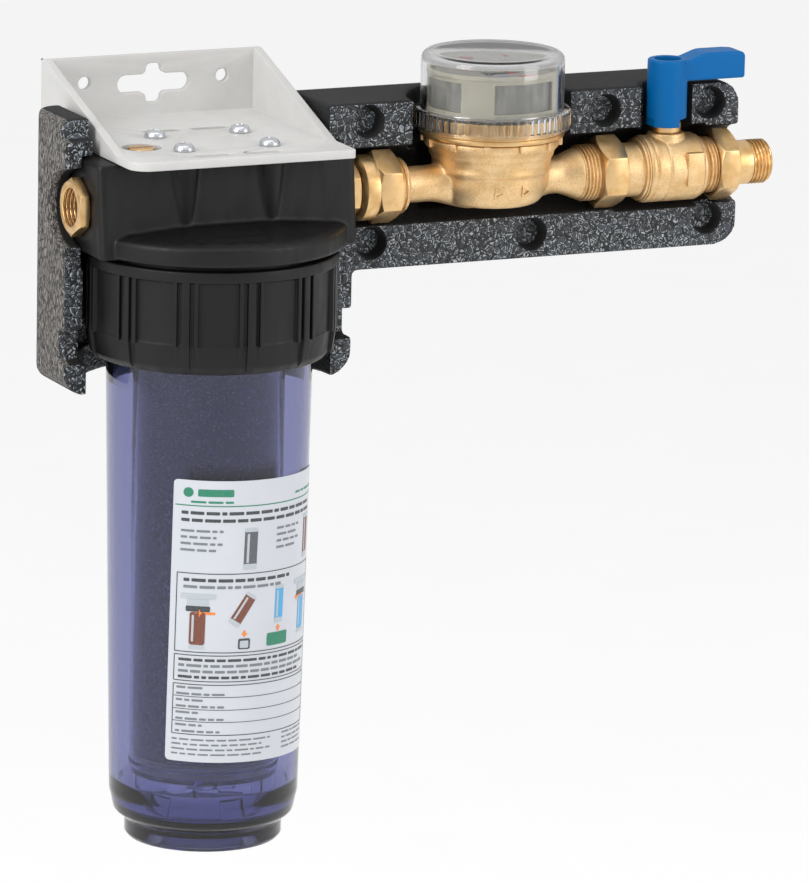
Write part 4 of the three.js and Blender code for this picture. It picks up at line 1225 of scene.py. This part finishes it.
def meter_body():
    vessel = turned(VESSEL, at=AT_METER)
    inlet = [(0, 92), (8.4, 92), (8.4, 110, 25), (12.8, 126, 20), (12.8, METER_X), (0, METER_X)]
    inlet = turned(inlet, "X", segments=64)
    outlet = [(0, METER_X), (12.8, METER_X), (12.8, 156, 20), (8.7, 168, 14), (8.7, 174, 8), (11.9, 182.4, 3),
              (11.9, 185), (0, 185)]
    outlet = turned(outlet, "X", segments=64)
    body = cast(joined(vessel, inlet, outlet), 0.6, 7)
    lug_outline = [(30.4, -1.7, 0.2), (32.8, -1.7, 0.4), (32.8, 1.7, 0.4), (30.4, 1.7, 0.2)]
    lugs = around(12, lambda: prism(lug_outline, 17.2, 21, "Z", 0.5), 2, AT_METER)
    inlet_screw = joined(thread(LARGE_THREAD, 88, 94.4), rod(11.9, METER_IN, 90, "X", segments=64))
    outlet_screw = joined(thread(LARGE_THREAD, 183.4, 195), rod(11.9, 193, METER_OUT, "X", segments=64))
    marks = [arrow_mark(METER_X - 6.9, -2.1), arrow_mark(METER_X + 6.4, -1.6)]
    chamber = turned([(0, -8.4), (12, -8.4), (21.5, -4.4), (24.8, 4), (25.4, 18), (0, 18)], at=AT_METER)
    flow = rod(6.5, METER_IN - 1, METER_OUT + 1, "X")
    return carved(joined(body, inlet_screw, outlet_screw, *lugs, *marks), chamber, flow)


show(meter_body(), "meter_body", CAST)


def cup_ring():
    profile = [(29.2, 21.2), (33, 21.2, 0.6), (33.6, 22, 0.4), (33.6, 23.4, 0.3), (33.1, 23.7), (33.1, 24.3),
               (33.6, 24.6, 0.3), (33.6, 31.3, 0.3), (31.6, 31.3, 0.3), (31.6, 22.8), (29.2, 22.8)]
    return turned(profile, at=AT_METER, segments=128)


show(cup_ring(), "meter_cup_ring", BRASS_UPRIGHT)


def clamp_ring():
    """The clear lock ring, knurled by fine upright ribs."""
    ribs = cogged(64, [(0.0, 35.4), (0.2, 36.4), (0.6, 36.4), (0.8, 35.4)])
    knurl = moved(prism(ribs, 26, 33.6, "Z", 0.25), AT_METER)
    band = turned([(30, 25), (36.3, 25, 0.4), (36.3, 26.4, 0.4), (35.2, 26.8), (35.2, 33), (36.2, 33.2, 0.3),
                   (35.6, 34.2, 0.4), (30, 34.2)], at=AT_METER, segments=128)
    bore = [(0, 24), (34.6, 24), (34.6, 33.2), (33.6, 33.2), (33.6, 35), (0, 35)]
    bore = turned(bore, at=AT_METER, segments=128)
    return carved(joined(band, knurl), bore)


show(clamp_ring(), "meter_clamp_ring", METER_CLEAR)

HOOD = 33.2
HOOD_TOP = span("meter_hood", "z")[1]


def meter_hood():
    """A clear cap with a rounded top edge, a foot rim and four faint upright mould lines."""
    inside = HOOD - 2
    top = HOOD_TOP - 0.4
    foot = HOOD + 0.5
    cap = turned([(0, top - 2), (inside, top - 2, 2.4), (inside, 31.6), (foot, 31.6, 0.3), (foot, 33.4, 0.5),
                  (HOOD, 33.8), (HOOD, top, 3.5), (HOOD - 7, top + 0.2), (0, top + 0.4)], segments=144)
    lines = [moved(bar(HOOD - 1, HOOD + 0.25, -0.35, 0.35, 34, top - 4, 0.15), turn=angle)
             for angle in (-118, -36, 60, 160)]
    return moved(joined(cap, *lines), AT_METER)


show(meter_hood(), "meter_hood", METER_CLEAR, crease=50)


def register_case():
    outer, inner, bottom, top = 30.6, 28.8, 31.8, 53
    waist = outer - 0.4
    wall = turned([(inner, bottom), (outer, bottom, 0.4), (outer, 33.4, 0.3), (waist, 33.8), (waist, 50.8),
                   (outer, 51.2, 0.3), (outer, top, 0.5), (inner, top, 0.5)], segments=128)
    floor = rod(inner + 0.5, bottom, bottom + 1.6, segments=96)
    windows = around(4, lambda: prism(rect(inner - 8, outer + 2, -15, 15, 1), 35.6, 49.2), -83)
    return moved(eased(carved(joined(wall, floor), *windows), 0.2, 40, 2), AT_METER)


show(register_case(), "register_case", CREAM)
detail(ring(28.6, 27.8, 33.6, 49.4, edge=0.2, at=AT_METER), "register_sleeve", "register_case", FROST)


def gear_block():
    """The dark train housing, with stacked gear wheels in its windows."""
    block = prism(rect(-17, 17, -15, 15, 4), 33.6, 49.8, "Z", 0.6)
    pocket = bar(-9, 9, -11.2, -2.8, 43, 51)
    axle = rod(0.8, -10, 10, "X", (0, -7, 47.5), 24)
    body = joined(carved(block, pocket), axle)
    wheels = []
    for x, y, z, radius in ((-19, -8, 38, 6), (18, -9, 41, 5), (-8, -17, 40, 5), (10, -16, 37, 6)):
        root = radius - 0.8
        teeth = cogged(24, [(0, root), (0.3, radius), (0.5, radius), (0.8, root)])
        wheels.append(moved(prism(teeth, z, z + 1.6), (x, y, 0)))
    return moved(joined(body, *wheels), AT_METER)


show(gear_block(), "register_gear_block", TRAIN)


def dial():
    plate = rod(28.5, 50, 51.1, segments=96, edge=0.2)
    slot = bar(-8.6, 8.6, -10.8, -3.2, 49, 52)
    return moved(carved(plate, slot), AT_METER)


show(dial(), "register_dial", DIAL)


PRINT_BOTTOM, PRINT_TOP = 51.08, 51.16


def dial_ticks(x, y, radius, count):
    """A ring of short marks printed on the dial, every fifth one longer."""
    marks = []
    for n in range(count):
        length = 1.1 if n % 5 == 0 else 0.6
        mark = bar(radius - length, radius, -0.1, 0.1, PRINT_BOTTOM, PRINT_TOP)
        marks.append(moved(mark, (METER_X + x, y, 0), n * 360 / count))
    return marks


def together(pieces):
    """Several separate closed shapes as one piece."""
    shape = bmesh.new()
    for piece in pieces:
        shape.from_mesh(piece.data)
    mesh = bpy.data.meshes.new("shape")
    shape.to_mesh(mesh)
    shape.free()
    for piece in pieces:
        bpy.data.objects.remove(piece)
    return placed("shape", mesh)


def dial_print(name, pieces, ink_name, colour):
    detail(together(pieces), name, "register_dial", ink(ink_name, colour))


red_patch = bar(METER_X + 4.1, METER_X + 16, -22, -17.5, PRINT_BOTTOM, PRINT_TOP)
lilac_patch = bar(METER_X - 18, METER_X, -22, -16, PRINT_BOTTOM, PRINT_TOP)
ticks = dial_ticks(11, 9, 7.6, 50) + dial_ticks(0, 0, 27.4, 100)
dial_print("dial_marks", ticks, "dial_black", srgb(40, 40, 44))
dial_print("dial_patch_red", [red_patch], "dial_red", srgb(206, 60, 72))
dial_print("dial_patch_lilac", [lilac_patch], "dial_lilac", srgb(150, 140, 196))

for number in range(1, 5):
    x0, x1 = span(f"register_roller_{number}", "x")
    drum = ring(3.4, 1, x0, x1, "X", (0, -7, 47.5), 40, 0.3)
    show(drum, f"register_roller_{number}", DARK if number < 4 else RED)

# ---------------------------------------------------------------- ball valve


def valve_end_piece():
    start = METER_OUT + 1.5
    neck_start = 204.9
    flange_end = MID_NUT[1] - 2.7
    shape = turned([(0, start), (12.9, start, 0.3), (12.9, flange_end, 0.3), (10.4, flange_end),
                    (10.4, neck_start), (12.6, neck_start, 0.4), (12.6, 213.2, 0.8), (14.4, 214, 0.3),
                    (14.4, 215), (15.1, 215.2, 0.2), (15.1, 215.8), (12.6, 215.8), (12.6, 222),
                    (0, 222)], "X")
    return carved(shape, rod(8, start - 1, 224, "X"), rod(10.8, 218.6, 224, "X"))


show(valve_end_piece(), "valve_end_piece", CAST)


def valve_body():
    start, end, thread_end = 216, 247.6, VALVE_OUT
    barrel = turned([(0, start), (15.2, start, 0.4), (15.8, start + 1, 0.5), (15.8, start + 2.6, 0.4),
                     (15.2, start + 3.2), (15.8, start + 3.8, 0.4), (15.8, 225.3, 0.5), (15.2, 226),
                     (15.8, 226.7, 0.5), (15.8, 243.2, 0.6), (14.9, 243.8), (14.9, 245, 0.5),
                     (13.4, end - 0.6, 0.5), (12.6, end), (0, end)], "X")
    neck = turned([(0, 8), (9.6, 8), (8.6, 17, 0.6), (0, 17)], at=AT_VALVE, segments=64)
    body = cast(joined(barrel, neck), 0.4, 5)
    pad = prism(rect(234, 242.4, -6.8, 9, 0.6), -16.3, 0, "Y", 0.4)
    screw = joined(thread(LARGE_THREAD, 246.6, 254), rod(11.9, 252, thread_end, "X", segments=64))
    cavity = [
        rod(12.9, start - 1, 240, "X", segments=64),
        rod(10.8, 239, 242.4, "X"),
        rod(8, start, thread_end + 1, "X"),
        rod(4.3, 8, 20, "Z", AT_VALVE),
        rod(6.2, 13.6, 20, "Z", AT_VALVE),
    ]
    return carved(joined(body, pad, screw), *cavity)


show(valve_body(), "valve_body", CAST)


def valve_ball():
    ball = bmesh.new()
    bmesh.ops.create_uvsphere(ball, u_segments=64, v_segments=32, radius=11.4)
    mesh = bpy.data.meshes.new("ball")
    ball.to_mesh(mesh)
    ball.free()
    stem_slot = bar(-8, 8, -1.7, 1.7, 8.6, 13)
    return moved(carved(placed("ball", mesh), rod(8, -13, 13, "X"), stem_slot), AT_VALVE)


show(valve_ball(), "valve_ball", ZINC)


def valve_stem():
    tang = bar(-4, 4, -1.4, 1.4, 8.9, 11.8)
    collar = rod(4, 11.7, 14)
    shaft = rod(3.6, 13.5, 38, edge=0.3)
    flats = [bar(-6, 6, 2.5, 6, 24, 39), bar(-6, 6, -6, -2.5, 24, 39)]
    return moved(carved(joined(tang, collar, shaft), *flats, rod(1.4, 28, 39)), AT_VALVE)


show(valve_stem(), "valve_stem", BRASS_UPRIGHT)
GLAND = [(3.9, 16.8), (6, 16.8), (6, 17.3), (6.9, 17.3, 0.3), (6.9, 21.8, 0.4), (3.9, 21.8)]
show(turned(GLAND, at=AT_VALVE, segments=64), "stem_gland", BRASS_UPRIGHT)


def valve_handle():
    hub = 9.4
    bottom, tab, hub_top = 23.6, 20, 51.6
    reach = span("valve_handle", "x")[1] - VALVE_X
    lever_bottom = 41.4
    lever_top = span("valve_handle", "z")[1]
    barrel = turned([(0, bottom), (hub, bottom, 0.5), (hub, hub_top, 1.1), (0, hub_top)], segments=72)
    skirt = shared(rod(hub, tab, bottom + 2, segments=72), bar(-8.4, 2.8, -10, 10, tab, bottom + 2))
    profile = [(5, lever_bottom), (reach, lever_bottom, 1.2), (reach, lever_top - 0.6, 2.4),
               (reach - 6, lever_top, 8), (17, lever_top, 9), (9, hub_top - 0.2, 7), (5, hub_top - 0.6)]
    lever = prism(profile, -7, 7, "Y", 1.1, 4)
    hollow = bar(hub + 1, reach - 2, -5, 5, lever_bottom - 1, lever_top - 3)
    recess = rod(6.4, 42.5, hub_top + 1)
    shell = cast(carved(joined(barrel, skirt, lever), hollow, recess), 0.35, 3)
    cuts = [
        rod(7.4, tab - 1, 28),
        shared(rod(3.8, 27, 38.6), bar(-5, 5, -2.7, 2.7, 27, 38.6)),
        rod(2, 38, 44),
    ]
    return moved(carved(shell, *cuts), AT_VALVE)


show(valve_handle(), "valve_handle", BLUE)


def handle_screw():
    head = turned([(0, 42.7), (4.4, 42.7, 0.3), (4.4, 44, 0.4), (3.4, 45.4, 0.8), (0, 45.8)], segments=48)
    cross = cross_recess([(-2.4, 46.4), (-1.1, 44.3), (1.1, 44.3), (2.4, 46.4)], 0.4)
    return moved(carved(joined(head, rod(1.2, 30, 43)), cross), AT_VALVE, 20)


show(handle_screw(), "handle_screw", ZINC)

# ---------------------------------------------------------------- carried-over pieces

CARRIED = {
    "register_pointer": RED,
    "register_flow_star": RED,
    "vent_seal": RUBBER,
    "bowl_seal": RUBBER,
    "cartridge_gasket": RUBBER,
    "inlet_union_gasket": FIBRE,
    "mid_union_gasket": FIBRE,
    "outlet_union_gasket": FIBRE,
    "meter_strainer": LINEN,
    "meter_impeller": LINEN,
    "impeller_pin": ZINC,
    "meter_separator": CAST,
    "valve_seat_inlet": LINEN,
    "valve_seat_outlet": LINEN,
    "stem_packing": LINEN,
}
for node, material in CARRIED.items():
    carried = frame["nodes"][node]
    carried.data.materials.clear()
    carried.data.materials.append(material)

# ---------------------------------------------------------------- camera, light and stage


TARGET = ORIGIN + Vector((71.5, -59.8, -106.4)) * MM


def aim(thing, azimuth, elevation, distance, roll=0.0):
    """Puts a camera or a light so that it looks at TARGET, rolled about its own view axis.

    The azimuth runs from straight in front towards +X. All angles are in degrees."""
    a, e = math.radians(azimuth), math.radians(elevation)
    back = Vector((math.sin(a) * math.cos(e), -math.cos(a) * math.cos(e), math.sin(e)))
    facing = back.to_track_quat("Z", "Y").to_matrix().to_4x4()
    turn = Matrix.Rotation(math.radians(roll), 4, "Z")
    thing.matrix_world = Matrix.Translation(TARGET + distance * back) @ facing @ turn


VIEW_AZIMUTH, VIEW_ELEVATION, VIEW_ROLL = -24.69, 12.99, 1.16
VIEW_DISTANCE = 3.4715
FOCAL_LENGTH = 311.1

lens = bpy.data.cameras.new("camera")
lens.lens = FOCAL_LENGTH
lens.sensor_width = 36
lens.clip_end = 30
camera = placed("camera", lens)
aim(camera, VIEW_AZIMUTH, VIEW_ELEVATION, VIEW_DISTANCE, VIEW_ROLL)
bpy.context.scene.camera = camera


def lamp(name, azimuth, elevation, distance, size, power):
    light = bpy.data.lights.new(name, "AREA")
    light.shape = "RECTANGLE"
    light.size, light.size_y = size
    light.energy = power
    aim(placed(name, light), azimuth, elevation, distance)


lamp("key_left", -75, 28, 1.6, (0.7, 1.3), 15)
lamp("fill_right", 42, 18, 1.9, (0.9, 1.3), 12)
lamp("top", -10, 74, 1.5, (1.2, 0.9), 3.5)


def stage():
    """A wide pale floor below the lowest reach of the dropped bowl, with a little light of its own."""
    bowl_drop = 0.32
    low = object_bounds()[0][2] - bowl_drop
    reach = 16
    tone, spread = 0.52, 0.01
    mesh = bpy.data.meshes.new("stage")
    corners = [(-reach, -reach, low), (reach, -reach, low), (reach, reach, low), (-reach, reach, low)]
    mesh.from_pydata(corners, [], [(0, 1, 2, 3)])
    f = Finish("stage_paper", grey(tone), 0.9)
    f.tint(f.noise(60, 2), grey(tone - spread), grey(tone + spread))
    f.set("Emission Color", grey(1))
    f.set("Emission Strength", 0.48)
    mesh.materials.append(f.material)
    placed("stage", mesh)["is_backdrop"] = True


stage()


def studio_world():
    """Soft white surroundings, darker low down so that metal keeps its shape."""
    world = bpy.data.worlds.new("studio")
    bpy.context.scene.world = world
    world.use_nodes = True
    tree = world.node_tree
    background = tree.nodes["Background"]
    place = tree.nodes.new("ShaderNodeTexCoord")
    split = tree.nodes.new("ShaderNodeSeparateXYZ")
    tree.links.new(place.outputs["Generated"], split.inputs["Vector"])
    ramp = tree.nodes.new("ShaderNodeMapRange")
    ramp.interpolation_type = "SMOOTHSTEP"
    for socket, number in (("From Min", -0.5), ("From Max", 0.7), ("To Min", 0.25), ("To Max", 0.8)):
        ramp.inputs[socket].default_value = number
    tree.links.new(split.outputs["Z"], ramp.inputs["Value"])
    tree.links.new(ramp.outputs["Result"], background.inputs["Strength"])
    background.inputs["Color"].default_value = (1, 1, 1, 1)


studio_world()
bpy.context.scene.view_settings.view_transform = "Standard"
